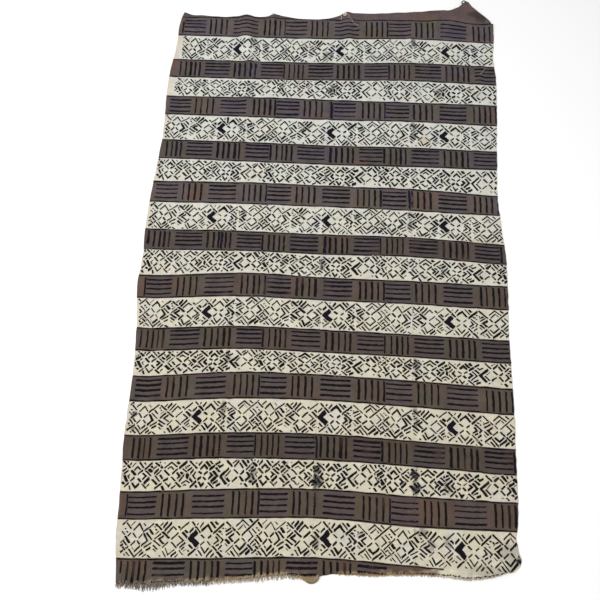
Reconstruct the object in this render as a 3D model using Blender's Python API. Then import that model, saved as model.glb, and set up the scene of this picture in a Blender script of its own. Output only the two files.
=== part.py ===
"""Mud cloth of four handwoven cotton strips, laid flat on a surface, with a frayed lower end.

The cloth lies with its length along Y and its underside on z = 0. Each strip is one thin sheet
between two lines that run up the cloth: its outer edge or the seam it shares with the next strip.
A few low folds lift it off the surface. The loose warp ends of the two left strips are locks that
stand on a narrow heading just below the cloth's edge.
"""
import random

import bmesh
import bpy
import numpy as np

MM = 0.001

# Driving sizes
CLOTH_WIDTH = 1050 * MM
CLOTH_LENGTH = 1796 * MM
CLOTH_THICKNESS = 1.5 * MM
GAP = 0.3 * MM

# How far the outer edges stand in from the cloth's greatest width, as columns: place along the
# cloth y from its middle, distance in (millimetres)
LEFT_EDGE = (
    (-880, 31), (-809, 28), (-719, 21), (-530, 15), (-326, 17), (-220, 12), (-109, 0), (6, 5),
    (65, 2), (250, 11), (380, 20), (582, 17), (725, 31), (830, 31),
)
RIGHT_EDGE = (
    (-790, 7), (-672, 2), (-385, 0), (-229, 3), (48, 2), (166, 14), (353, 11), (550, 3),
    (625, 3), (688, 8), (760, 3), (895, 6),
)

# How far the ends of the weave stand in from the cloth's greatest length, which the longest locks
# reach below, as columns: place across the cloth x from its middle, distance in (millimetres)
LOWER_END = (
    (-526, 22), (-452, 20), (-400, 24), (-298, 32), (-179, 43), (-120, 52), (-60, 58), (-8, 53),
    (28, 62), (148, 68), (325, 75), (400, 71), (445, 78), (480, 89), (526, 108),
)
UPPER_END = (
    (-526, 66), (-422, 72), (-343, 79), (-304, 76), (-225, 75), (-186, 68), (-107, 79),
    (-29, 79), (10, 68), (48, 52), (127, 51), (244, 43), (361, 28), (399, 26), (416, 17),
    (436, 0), (456, 15), (477, 36), (526, 84),
)

# Seams, as columns: place along the cloth y, place across it x (millimetres)
FIRST_SEAM = ((-880, -253), (-300, -255), (300, -257), (830, -250))
MIDDLE_SEAM = ((-880, 1), (0, -2), (850, 2))
LAST_SEAM = ((-880, 259), (0, 256), (870, 260))

# Folds, as columns: start x, start y, end x, end y, half width, height (millimetres)
FOLDS = (
    (-275, 828, -272, 720, 34, 8.5),
    (-186, 832, -190, 802, 26, 5.0),
    (46, 852, 58, 754, 28, 7.0),
    (52, 837, 106, 766, 20, 3.5),
    (402, 874, 438, 895, 26, 7.0),
    (440, 892, 512, 817, 24, 4.5),
    (478, 670, 470, 606, 18, 3.5),
    (-256, 692, -256, 642, 24, 4.0),
    (-257, 550, -257, 507, 22, 3.5),
    (-257, 397, -257, 352, 22, 3.5),
    (-2, 472, -2, 412, 20, 2.5),
    (257, 792, 256, 737, 22, 3.0),
    (256, -238, 256, -298, 20, 2.5),
    (-1, -558, 0, -638, 22, 3.0),
    (-254, -698, -254, -788, 24, 3.0),
    (-522, -98, -462, -90, 34, 4.0),
    (-505, 402, -455, 414, 34, 3.5),
    (-495, 772, -430, 778, 32, 4.0),
    (520, 142, 470, 130, 34, 3.5),
    (523, -458, 468, -450, 32, 3.0),
    (-28, -844, 16, -840, 20, 6.5),
    (330, -820, 490, -804, 30, 5.0),
    (-470, -866, -380, -864, 26, 3.5),
)

# Grid of each strip: shares of its width and of its length at which the sheet may bend
ROW_SHARES = np.concatenate((
    (0.0, 0.011, 0.024, 0.040),
    np.linspace(0.060, 0.878, 44),
    (0.896, 0.914, 0.932, 0.949, 0.966, 0.984, 1.0),
))
EVEN_COLUMNS = (0.0, 0.07, 0.18, 0.34, 0.5, 0.66, 0.82, 0.93, 1.0)
CORNER_COLUMNS = (0.0, 0.07, 0.2, 0.38, 0.53, 0.59, 0.635, 0.68, 0.74, 0.82, 0.91, 1.0)

# Loose warp ends
HEADING_DEPTH = 3 * MM
LOCK_WIDTH = 1.1 * MM
LOCK_STEPS = 3
LOCK_TAPER = 0.55
SHARED_SWAY = 2.2 * MM
SWAY_REACH = 9 * MM
OWN_SWAY = 0.55 * MM
LENGTH_SPREAD = 0.18
# Columns: place across the cloth x, length of the locks below the heading (millimetres)
LOCK_LENGTHS = (
    (-494, 10), (-452, 12), (-418, 16), (-388, 14.5), (-350, 9), (-300, 8), (-250, 7),
    (-180, 7), (-120, 9.5), (-60, 8), (0, 5),
)
# One row under each strip from the left, as columns: node, left end x, right end x (millimetres),
# number of locks, seed of the spread
FRAYS = (
    ("fray_1", -488, -257, 70, 11),
    ("fray_2", -249, -34, 58, 12),
)

# Colours and finish of each part: red, green, blue, roughness
WOVEN_COTTON = (0.30, 0.25, 0.20, 0.92)
LOOSE_WARP = (0.46, 0.38, 0.28, 0.95)


def curve_through(rows, at):
    """Smooth curve through a table's rows, read at the given places; both in metres.

    Between two rows it is the cubic whose slope at each row is that of the line between the
    row's two neighbours.
    """
    table = np.array(rows, dtype=float) * MM
    places, values = table[:, 0], table[:, 1]
    slopes = np.gradient(values, places)
    at = np.clip(np.asarray(at, dtype=float), places[0], places[-1])
    left = np.clip(np.searchsorted(places, at, side="right") - 1, 0, len(places) - 2)
    span = places[left + 1] - places[left]
    t = (at - places[left]) / span
    rise = values[left + 1] - values[left]
    start, finish = slopes[left] * span, slopes[left + 1] * span
    cubic = start + finish - 2 * rise
    square = 3 * rise - 2 * start - finish
    return values[left] + t * (start + t * (square + t * cubic))


def lift(x, y):
    """Height of the underside above the surface: the sum of the folds, and 0 between them."""
    height = np.zeros(np.broadcast(x, y).shape)
    for start_x, start_y, end_x, end_y, half_width, crest in np.array(FOLDS) * MM:
        run_x, run_y = end_x - start_x, end_y - start_y
        along = ((x - start_x) * run_x + (y - start_y) * run_y) / (run_x ** 2 + run_y ** 2)
        along = np.clip(along, 0, 1)
        away = np.hypot(x - start_x - along * run_x, y - start_y - along * run_y)
        near = np.clip(1 - away / half_width, 0, 1)
        height = height + crest * near ** 2 * (3 - 2 * near)
    return height


def material(name, red, green, blue, roughness):
    """A Principled BSDF of one colour."""
    made = bpy.data.materials.new(name)
    made.use_nodes = True
    shader = made.node_tree.nodes["Principled BSDF"]
    shader.inputs["Base Color"].default_value = (red, green, blue, 1)
    shader.inputs["Roughness"].default_value = roughness
    shader.inputs["Metallic"].default_value = 0
    made.diffuse_color = (red, green, blue, 1)
    return made


def flat_grid(columns, rows):
    """A flat grid, and for each of its vertices its column and its row, counted from 0."""
    grid = bmesh.new()
    bmesh.ops.create_grid(grid, x_segments=columns, y_segments=rows, size=1)
    counts = {
        vert: (round((vert.co.x + 1) / 2 * columns), round((vert.co.y + 1) / 2 * rows))
        for vert in grid.verts
    }
    return grid, counts


def thicken(sheet):
    """Give a sheet its thickness: a second skin straight above it, joined by walls."""
    skin = bmesh.ops.extrude_face_region(sheet, geom=sheet.faces[:])
    raised = [item for item in skin["geom"] if isinstance(item, bmesh.types.BMVert)]
    bmesh.ops.translate(sheet, verts=raised, vec=(0, 0, CLOTH_THICKNESS))
    bmesh.ops.recalc_face_normals(sheet, faces=sheet.faces)


def finish(solid, name, surface, collection):
    """Turn a bmesh into a named object with its material, smooth but for its walls."""
    mesh = bpy.data.meshes.new(name)
    solid.to_mesh(mesh)
    solid.free()
    mesh.materials.append(surface)
    mesh.shade_smooth()
    mesh.set_sharp_from_angle(angle=np.radians(40))
    collection.objects.link(bpy.data.objects.new(name, mesh))


def left_edge(y):
    """The cloth's left outer edge at a place along its length."""
    return -CLOTH_WIDTH / 2 + curve_through(LEFT_EDGE, y)


def right_edge(y):
    """The cloth's right outer edge at a place along its length."""
    return CLOTH_WIDTH / 2 - curve_through(RIGHT_EDGE, y)


def seam_side(rows, shift):
    """One side of a seam, half a gap left or right of it, as a function of y."""
    return lambda y: curve_through(rows, y) + shift


def strip(name, left_line, right_line, shares, surface, collection):
    """One woven strip between two lines, from the lower to the upper end of the weave.

    Returns the corners of its lower edge, left to right, as one array of x and one of y.
    """
    sheet, counts = flat_grid(len(shares) - 1, len(ROW_SHARES) - 1)
    middle = 0.0
    start_x, end_x = left_line(middle), right_line(middle)
    for vert, (column, row) in counts.items():
        across, along = shares[column], ROW_SHARES[row]
        straight_x = start_x + across * (end_x - start_x)
        bottom = -CLOTH_LENGTH / 2 + curve_through(LOWER_END, straight_x)
        top = CLOTH_LENGTH / 2 - curve_through(UPPER_END, straight_x)
        y = bottom + along * (top - bottom)
        x = left_line(y) + across * (right_line(y) - left_line(y))
        vert.co = (x, y, lift(x, y))
    corners = sorted(tuple(vert.co.xy) for vert, (column, row) in counts.items() if row == 0)
    thicken(sheet)
    finish(sheet, name, surface, collection)
    return np.array(corners).T


def heading_edges(left, right, locks):
    """Places across the heading where a lock or the space beside it starts, left to right."""
    spacing = (right - left) / locks
    centres = left + spacing * (np.arange(locks) + 0.5)
    sides = np.stack((centres - LOCK_WIDTH / 2, centres + LOCK_WIDTH / 2), axis=1).ravel()
    return np.concatenate(([left], sides, [right]))


def grow_lock(heading, face, length, sway):
    """Draw one lock out of a face of the heading, level on the surface and thinner to its tip."""
    root = face.calc_center_median()
    for step in range(1, LOCK_STEPS + 1):
        drawn = bmesh.ops.extrude_discrete_faces(heading, faces=[face])
        face = drawn["faces"][0]
        before, share = (step - 1) / LOCK_STEPS, step / LOCK_STEPS
        width = (1 - LOCK_TAPER * share) / (1 - LOCK_TAPER * before)
        bend = sway * (share ** 2 - before ** 2)
        middle = face.calc_center_median()
        for vert in face.verts:
            vert.co.x = middle.x + (vert.co.x - middle.x) * width + bend
            vert.co.y = root.y - length * share
            vert.co.z = vert.co.z * width


def fray(name, left, right, locks, seed, lower_edge, surface, collection):
    """Loose warp ends: a narrow heading along a strip's lower edge, and the locks below it."""
    spread = random.Random(seed)
    edges = heading_edges(left * MM, right * MM, locks)
    heading, counts = flat_grid(len(edges) - 1, 1)
    for vert, (column, row) in counts.items():
        x = edges[column]
        upper = np.interp(x, *lower_edge) - GAP
        vert.co = (x, upper - (1 - row) * HEADING_DEPTH, 0)
    thicken(heading)
    fronts = [face for face in heading.faces if face.normal.y < -0.7]
    fronts.sort(key=lambda face: face.calc_center_median().x)
    for face in fronts[1::2]:
        x = face.calc_center_median().x
        length = curve_through(LOCK_LENGTHS, x) * (1 + spread.uniform(-1, 1) * LENGTH_SPREAD)
        sway = SHARED_SWAY * np.sin(x / SWAY_REACH) + spread.uniform(-1, 1) * OWN_SWAY
        grow_lock(heading, face, length, sway)
    bmesh.ops.recalc_face_normals(heading, faces=heading.faces)
    finish(heading, name, surface, collection)


def build():
    """Clear the scene and make the four strips and the two frayed ends."""
    for thing in list(bpy.data.objects):
        bpy.data.objects.remove(thing, do_unlink=True)
    collection = bpy.data.collections.new("mud_cloth")
    bpy.context.scene.collection.children.link(collection)
    cotton = material("woven_cotton", *WOVEN_COTTON)
    warp = material("loose_warp", *LOOSE_WARP)
    seams = (FIRST_SEAM, MIDDLE_SEAM, LAST_SEAM)
    left_lines = [left_edge] + [seam_side(rows, GAP / 2) for rows in seams]
    right_lines = [seam_side(rows, -GAP / 2) for rows in seams] + [right_edge]
    columns = (EVEN_COLUMNS, EVEN_COLUMNS, EVEN_COLUMNS, CORNER_COLUMNS)
    lower_edges = []
    for number, (left_line, right_line, shares) in enumerate(zip(left_lines, right_lines, columns)):
        name = f"strip_{number + 1}"
        lower_edges.append(strip(name, left_line, right_line, shares, cotton, collection))
    for row, lower_edge in zip(FRAYS, lower_edges):
        fray(*row, lower_edge, warp, collection)


build()
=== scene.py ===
# %% [markdown]
# # A mud cloth, laid flat
#
# The real thing is a cotton cloth woven in four narrow strips, sewn edge to edge, dyed brown in
# bands and painted with black mud. It lies on the floor and is seen from above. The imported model
# gives each strip's place and folds. This lesson dresses it: dense sheets for the strips, the mud
# marks as thin layers on them, sewing thread, loose warp yarns, dye and weave.

import bpy
import numpy as np
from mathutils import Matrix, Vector


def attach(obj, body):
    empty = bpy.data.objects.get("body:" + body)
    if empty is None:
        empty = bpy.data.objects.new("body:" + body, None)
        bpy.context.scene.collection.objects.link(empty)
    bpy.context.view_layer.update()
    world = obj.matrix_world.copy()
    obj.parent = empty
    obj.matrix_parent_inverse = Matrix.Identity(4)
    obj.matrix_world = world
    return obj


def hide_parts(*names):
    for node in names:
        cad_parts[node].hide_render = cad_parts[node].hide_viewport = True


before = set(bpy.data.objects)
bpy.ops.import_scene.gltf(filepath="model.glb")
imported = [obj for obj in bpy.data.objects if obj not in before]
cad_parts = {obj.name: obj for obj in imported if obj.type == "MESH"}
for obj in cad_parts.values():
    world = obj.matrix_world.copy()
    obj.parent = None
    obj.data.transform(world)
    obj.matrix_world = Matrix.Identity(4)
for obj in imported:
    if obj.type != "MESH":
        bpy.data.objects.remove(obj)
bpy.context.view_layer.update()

MM = 0.001
print("nodes:", sorted(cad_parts))


def wander(x, y, size, seed):
    """Smooth unevenness between about -1 and 1: six seeded sine waves over the cloth, added up.

    Wave i is sin(2 pi (x cos a_i + y sin a_i) / L_i + p_i), with L_i from 0.7 to 1.9 sizes, and the
    sum is divided by 2.6.
    """
    rng = np.random.default_rng(seed)
    total = np.zeros(np.broadcast(x, y).shape)
    for angle, reach, phase in zip(
        rng.uniform(0, np.pi, 6), rng.uniform(0.7, 1.9, 6), rng.uniform(0, 2 * np.pi, 6)
    ):
        total += np.sin(2 * np.pi * (x * np.cos(angle) + y * np.sin(angle)) / (reach * size) + phase)
    return total / 2.6


def ramp(value, start, end):
    """0 before start, 1 after end, and 3t^2 - 2t^3 between them."""
    t = np.clip((value - start) / (end - start), 0, 1)
    return t * t * (3 - 2 * t)


def millimetres(value):
    """A length in metres as millimetres, rounded for printing."""
    return round(float(value) / MM, 2)


# %% [markdown]
# ## Camera
#
# The photograph looks straight down, tilted a little along the cloth. Its place was worked out
# from the cloth's four corners and the even pitch of its bands, in the model's own frame. It comes
# first, because every later choice is judged through it.

# %% Camera
camera = bpy.data.objects.new("camera", bpy.data.cameras.new("camera"))
camera.location = (-0.0213, -0.5361, 1.5257)
camera.rotation_euler = (0.26226, 0.01308, 0.04513)
camera.data.sensor_width = 36
camera.data.lens = 33.6
bpy.context.scene.collection.objects.link(camera)
bpy.context.scene.camera = camera
print("camera", round(camera.location.z, 3), "m above the floor")

# %% [markdown]
# ## Outline and seams
#
# No edge of a handwoven cloth is straight. Both selvedges bulge, the frayed end runs uphill, and
# the hemmed end rises to a peak near one corner. Each line is a smooth curve through measured
# places, the same ones that the solids were built from, so that the sheets stay in them.

# %% Outline and seams, in millimetres from the middle of the cloth
WIDTH = 1050 * MM
LENGTH = 1796 * MM
THICKNESS = 1.5 * MM

# Columns: place along the cloth, distance in from its greatest width
LEFT_EDGE = (
    (-880, 39), (-818, 32), (-770, 25), (-719, 24), (-530, 15), (-326, 17), (-220, 12), (-109, 0),
    (6, 5), (65, 2), (250, 11), (380, 20), (582, 17), (725, 31), (790, 33), (815, 37), (834, 44),
)
RIGHT_EDGE = (
    (-800, 10), (-787, 4), (-777, 1), (-760, 6), (-743, 9), (-722, 11), (-709, 8), (-672, 4),
    (-507, 2), (-385, 0), (-229, 3), (48, 2), (166, 14), (353, 11), (550, 3), (625, 3), (688, 8),
    (760, 3), (895, 6),
)
# Columns: place across the cloth, distance in from its greatest length
LOWER_END = (
    (-526, 22), (-452, 20), (-400, 24), (-298, 32), (-179, 43), (-120, 52), (-60, 58), (-8, 53),
    (28, 62), (148, 68), (325, 75), (400, 71), (445, 78), (485, 89), (500, 92), (510, 97),
    (526, 111),
)
UPPER_END = (
    (-495, 64), (-483, 66), (-460, 73), (-422, 75), (-343, 79), (-304, 76), (-225, 75),
    (-186, 68), (-107, 79), (-29, 79), (10, 69), (48, 55), (127, 51), (244, 43), (361, 29),
    (399, 27), (414, 19), (425, 7), (437, 4), (450, 15), (470, 32), (500, 59), (512, 74),
    (519, 92), (526, 108),
)
# Columns: place along the cloth, place across it
SEAMS = (
    ((-880, -253), (-300, -255), (300, -257), (830, -250)),
    ((-880, 1), (0, -2), (850, 2)),
    ((-880, 259), (0, 256), (870, 260)),
)


def curve_through(rows, at):
    """Smooth curve through a table's rows: a cubic whose slope at a row is its neighbours' slope."""
    table = np.array(rows, dtype=float) * MM
    places, values = table[:, 0], table[:, 1]
    slopes = np.gradient(values, places)
    at = np.clip(np.asarray(at, dtype=float), places[0], places[-1])
    left = np.clip(np.searchsorted(places, at, side="right") - 1, 0, len(places) - 2)
    span = places[left + 1] - places[left]
    t = (at - places[left]) / span
    rise = values[left + 1] - values[left]
    start, finish = slopes[left] * span, slopes[left + 1] * span
    cubic = start + finish - 2 * rise
    square = 3 * rise - 2 * start - finish
    return values[left] + t * (start + t * (square + t * cubic))


def left_edge(y):
    """The left selvedge: its curve, plus up to 1.2 mm of the wobble of handwoven cloth."""
    return -WIDTH / 2 + curve_through(LEFT_EDGE, y) + 0.6 * MM * (1 + wander(0, y, 0.031, 1))


def right_edge(y):
    """The right selvedge, in the same way."""
    return WIDTH / 2 - curve_through(RIGHT_EDGE, y) - 0.6 * MM * (1 + wander(0, y, 0.027, 2))


def lower_end(x):
    """Where the weave stops at the frayed end, with up to 1.4 mm of wobble."""
    return -LENGTH / 2 + curve_through(LOWER_END, x) + 0.7 * MM * (1 + wander(x, 0, 0.022, 3))


def upper_end(x):
    """The fold of the hem at the upper end, in the same way."""
    return LENGTH / 2 - curve_through(UPPER_END, x) - 0.7 * MM * (1 + wander(x, 0, 0.035, 4))


def seam(number):
    """One seam's line, 1 to 3 from the left, as a function of the place along the cloth."""
    return lambda y: curve_through(SEAMS[number - 1], y)


print("cloth", WIDTH, "by", LENGTH, "m, seams at x =", [round(float(seam(n)(0)), 3) for n in (1, 2, 3)])

# %% [markdown]
# ## Folds
#
# A cloth on a floor touches it nearly everywhere. Where two strips were sewn with uneven pull, or
# the end was dragged, it stands up in low ridges. They could be simulated, but a simulation would
# put them where it likes. Here each ridge is a soft hump along a short line, as in the solids,
# plus puckers along the seams and a slight rumple that is never below the floor.

# %% Folds
# Columns: start x, start y, end x, end y, half width, height (millimetres)
FOLDS = (
    (-275, 828, -272, 720, 34, 8.5),
    (-186, 832, -190, 802, 26, 5.0),
    (46, 852, 58, 754, 28, 7.0),
    (52, 837, 106, 766, 20, 3.5),
    (402, 874, 438, 895, 26, 7.0),
    (440, 892, 512, 817, 24, 4.5),
    (478, 670, 470, 606, 18, 3.5),
    (-256, 692, -256, 642, 24, 4.0),
    (-257, 550, -257, 507, 22, 3.5),
    (-257, 397, -257, 352, 22, 3.5),
    (-2, 472, -2, 412, 20, 2.5),
    (257, 792, 256, 737, 22, 3.0),
    (256, -238, 256, -298, 20, 2.5),
    (-1, -558, 0, -638, 22, 3.0),
    (-254, -698, -254, -788, 24, 3.0),
    (-522, -98, -462, -90, 34, 4.0),
    (-505, 402, -455, 414, 34, 3.5),
    (-495, 772, -430, 778, 32, 4.0),
    (520, 142, 470, 130, 34, 3.5),
    (523, -458, 468, -450, 32, 3.0),
    (-28, -844, 16, -840, 20, 6.5),
    (330, -820, 490, -804, 30, 5.0),
    (-470, -866, -380, -864, 26, 3.5),
)


def lift(x, y):
    """Height of the underside: crest times near^2 (3 - 2 near) for each fold, added up."""
    height = np.zeros(np.broadcast(x, y).shape)
    for start_x, start_y, end_x, end_y, half_width, crest in np.array(FOLDS) * MM:
        run_x, run_y = end_x - start_x, end_y - start_y
        along = ((x - start_x) * run_x + (y - start_y) * run_y) / (run_x ** 2 + run_y ** 2)
        along = np.clip(along, 0, 1)
        away = np.hypot(x - start_x - along * run_x, y - start_y - along * run_y)
        near = np.clip(1 - away / half_width, 0, 1)
        height = height + crest * near ** 2 * (3 - 2 * near)
    return height


def rumple(x, y):
    """Small unevenness of the cloth, 0 or more: broad rumples, ripples, and puckers at the seams."""
    broad = np.clip(wander(x, y, 0.16, 10) - 0.25, 0, 1) * 1.3 * MM
    ripple = (1 + wander(x, 3 * y, 0.075, 11)) * 0.16 * MM
    pucker = np.zeros(np.broadcast(x, y).shape)
    for number in (1, 2, 3):
        away = x - seam(number)(y)
        gather = 0.55 + 0.45 * wander(0, y, 0.028, 20 + number)
        pucker = pucker + np.exp(-(away / 0.011) ** 2) * (1 - np.exp(-(away / 0.0022) ** 2)) * gather
    return broad + np.clip(ripple, 0, None) + 0.9 * MM * np.clip(pucker, 0, None)


def hem_depth(x):
    """How far the upper end is turned under, deeper towards the right."""
    return 13 * MM + 9 * MM * ramp(x, 0.2, 0.4) + 1.5 * MM * wander(x, 0, 0.06, 12)


def hem_step(x, y):
    """Extra height of the face over the turned hem: one more thickness, with a soft step."""
    inside = upper_end(x) - y
    return 1.4 * MM * (1 - ramp(inside, hem_depth(x) - 1.0 * MM, hem_depth(x) + 3.0 * MM))


def face(x, y):
    """Height of the cloth's upper face above the floor."""
    return lift(x, y) + rumple(x, y) + hem_step(x, y) + THICKNESS


print("highest fold:", millimetres(lift(-0.273, 0.78)), "mm")

# %% [markdown]
# ## Bands
#
# Brown bands alternate with pale ones that are wide and narrow in turn. They were laid out by eye,
# so each border line bends a little. The table gives each line's height at five places across, and
# a line between them is a smooth curve. Line 0 is the lowest, and pale bands lie between lines
# 0 and 1, 2 and 3, and so on.

# %% Bands
LINE_PLACES = (-465, -225, 15, 255, 495)
# One row per border line from the lowest: its place along the cloth at the five places (mm)
LINE_ROWS = (
    (-818, -806, -794, -802, -811), (-728, -714, -703, -713, -713),
    (-659, -641, -631, -638, -641), (-584, -566, -560, -566, -575),
    (-517, -498, -492, -500, -508), (-431, -411, -406, -413, -422),
    (-360, -338, -336, -341, -351), (-291, -275, -276, -279, -285),
    (-226, -210, -211, -215, -219), (-141, -125, -127, -128, -135),
    (-71, -54, -59, -59, -64), (6, 11, 9, 12, -1),
    (69, 73, 72, 73, 61), (155, 159, 158, 156, 148),
    (225, 229, 226, 226, 214), (299, 297, 295, 297, 296),
    (365, 364, 361, 364, 360), (450, 450, 448, 451, 445),
    (518, 521, 520, 520, 519), (586, 586, 590, 597, 589),
    (652, 652, 654, 664, 658), (741, 741, 743, 751, 744),
    (812, 816, 816, 823, 814),
)
HEM_LINE = len(LINE_ROWS) - 1
# The line under the hem also swells up beside the right seam: where, how far and how wide
SWELL_AT, SWELL, SWELL_WIDTH = 375 * MM, 10 * MM, 40 * MM
# The raw end's right part has lost its brown dye from here on, and is bare past there
WORN_FROM, WORN_TO = 300 * MM, 330 * MM


def line_height(number, x):
    """Place along the cloth of one border line at x: a smooth curve through its five places.

    The highest line has a swell of its own: SWELL times e to the power of -(distance / width)^2 / 2.
    """
    height = curve_through(tuple(zip(LINE_PLACES, LINE_ROWS[number])), x)
    if number == HEM_LINE:
        height = height + SWELL * np.exp(-0.5 * ((x - SWELL_AT) / SWELL_WIDTH) ** 2)
    return height


print(len(LINE_ROWS), "border lines,", len(LINE_ROWS) // 2, "pale bands")

# %% [markdown]
# ## The brown bands' combs
#
# The brown bands have combs: a few upright strokes, then a few long ones lying across. Two
# stencils take turns down the cloth, one starting with uprights and one with lying strokes. The
# uprights and the lying strokes are given as places and made into paths here.

# %% The combs
COMB_LENGTH, COMB_HEIGHT = 342, 72


def comb(heavy, thick, lying, shares):
    """Strokes of one comb stencil: uprights at their places, and lying strokes at four heights.

    The lying strokes come last in the chart, which tells them from the uprights.
    """
    top, middle, bottom = COMB_HEIGHT * 0.13, COMB_HEIGHT * 0.5, COMB_HEIGHT * 0.86
    chart = {
        brush: [(place, top, place + 0.8, middle, place, bottom) for place in places]
        for brush, places in (("heavy", heavy), ("thick", thick))
    }
    chart["line"] = [
        (start, down, (start + end) / 2, down + 0.9, end, down - 0.4)
        for start, end in lying for down in COMB_HEIGHT * np.array(shares)
    ]
    return chart


COMB_A = comb((), (15.5, 32.5, 50, 66.5, 83, 175, 192, 211, 229), ((86, 157), (254, 333)),
              (0.20, 0.38, 0.57, 0.79))
COMB_B = comb((261, 279, 296, 314, 329), (82, 100, 116, 130, 145), ((8, 79), (165, 243)),
              (0.17, 0.35, 0.54, 0.75))
print("combs:", [sum(len(paths) for paths in chart.values()) for chart in (COMB_A, COMB_B)], "strokes")

# %% [markdown]
# ## Where each print begins
#
# The stencil was set down by eye, so prints don't line up from band to band, and each is
# stretched a little to meet the next. The tables give where each print's start falls across the
# cloth. Prints that begin beyond the left selvedge are cut off there, and some stop short of it.

# %% Starts of the prints, in millimetres across the cloth
# Band's lower line: its starts. The last print runs off the right selvedge.
WIDE_STARTS = {
    20: (-551, -220, 107, 445, 785), 16: (-577, -249, 91, 436, 776), 12: (-586, -253, 85, 430, 770),
    8: (-577, -241, 97, 439, 780), 4: (-578, -242, 95, 439, 780), 0: (-557, -223, 112, 452, 792),
}
NARROW_STARTS = {
    18: (-554, -230, 102, 442, 780), 14: (-586, -256, 88, 433, 771), 10: (-585, -255, 83, 429, 767),
    6: (-577, -245, 92, 436, 775), 2: (-579, -247, 85, 426, 765),
}
COMB_STARTS = {
    21: (COMB_A, (-560, -229, 98, 442, 784)), 19: (COMB_B, (-553, -223, 104, 449, 791)),
    17: (COMB_A, (-585, -247, 92, 433, 775)), 15: (COMB_B, (-585, -253, 92, 437, 779)),
    13: (COMB_A, (-596, -258, 81, 425, 767)), 11: (COMB_B, (-589, -258, 82, 429, 771)),
    9: (COMB_A, (-585, -243, 93, 432, 774)), 7: (COMB_B, (-579, -238, 97, 439, 781)),
    5: (COMB_A, (-584, -243, 95, 437, 779)), 3: (COMB_B, (-581, -241, 92, 435, 777)),
    1: (COMB_A, (-564, -224, 112, 448, 790)), -1: (COMB_B, (-560, -221, 109, 452, 794)),
}
# Bands whose print stops short of the left selvedge: lower line, where it stops
BARE_LEFT = {20: -476, 19: -476, 18: -485, 0: -486}


def band_span(number, x):
    """Lower and upper line of the band above a border line; the lowest band has no lower line."""
    upper = line_height(number + 1, x)
    lower = line_height(number, x) if number >= 0 else upper - 73 * MM
    return lower, upper


def lying_share(chart, starts, x):
    """1 where a comb band's strokes lie across and 0 where they stand, with 5 mm between."""
    starts = np.array(starts) * MM
    turn = np.clip(np.searchsorted(starts, x) - 1, 0, len(starts) - 2)
    place = (x - starts[turn]) / (starts[turn + 1] - starts[turn]) * COMB_LENGTH
    share = np.zeros(np.shape(x))
    for begin, end in sorted({(path[0], path[4]) for path in chart["line"]}):
        before, after = ramp(place, begin - 6, begin - 1), ramp(place, end + 1, end + 6)
        share = np.maximum(share, before * (1 - after))
    return share


print(len(WIDE_STARTS), "wide,", len(NARROW_STARTS), "narrow and", len(COMB_STARTS), "comb bands")

# %% [markdown]
# ## Dye
#
# The pale cotton is pinkish along the left selvedge. From the top of the cloth to the bottom it turns
# from cool and greenish to yellower and dimmer, and the brown from purplish to warmer: this is painted
# light, a change of light down the cloth put into its colour. The brown is a bark dye that took
# unevenly: purplish, olive and rusty in patches. Drawn as one flat colour per band it would look
# printed by machine, so each point of the cloth gets its own colour, worked out from its place and
# stored on the mesh. The bark dye also went on with the combs, block by block, so the blocks of lying
# strokes are more purple than those between. Painted shade darkens the brown along the hem's fold,
# and the lower right corner is made greyer.

# %% Dye
# The step from PALE_TOP to PALE_LOW and from BARK_TOP to BARK_LOW is painted light: cooler and brighter
# at the top of the cloth, warmer and dimmer at its bottom.
PALE_TOP = (0.66, 0.67, 0.60)
PALE_LOW = (0.65, 0.60, 0.46)
PALE_EDGE = (0.67, 0.56, 0.45)
PALE_LILAC = (0.62, 0.61, 0.64)
BARK_TOP = (0.106, 0.086, 0.090)
BARK_LOW = (0.106, 0.073, 0.056)
BARK_OLIVE = (0.096, 0.084, 0.062)
BARK_RUST = (0.135, 0.080, 0.058)
BARK_LILAC = (0.088, 0.074, 0.100)
HEM_ROSE = (0.130, 0.086, 0.084)
TAN = (0.50, 0.37, 0.21)
INK_WASH = (0.018, 0.018, 0.025)
GREY_PATCH = (0.36, 0.33, 0.27)
HEM_DARK = (0.050, 0.042, 0.035)

# How light the bark dye of each brown band is, from the highest band down
BAND_LIGHTNESS = dict(zip(
    COMB_STARTS, (1.14, 1.0, 1.04, 0.96, 1.10, 0.86, 0.94, 0.90, 0.98, 0.84, 0.97, 0.96)))
# A stain's colour is for the brown bands if it is darker than this, and else for the pale ones
DARKEST_PALE = 0.2
# Below this place (mm) a stain lies on the raw end, whatever its colour
RAW_END = -840
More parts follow.
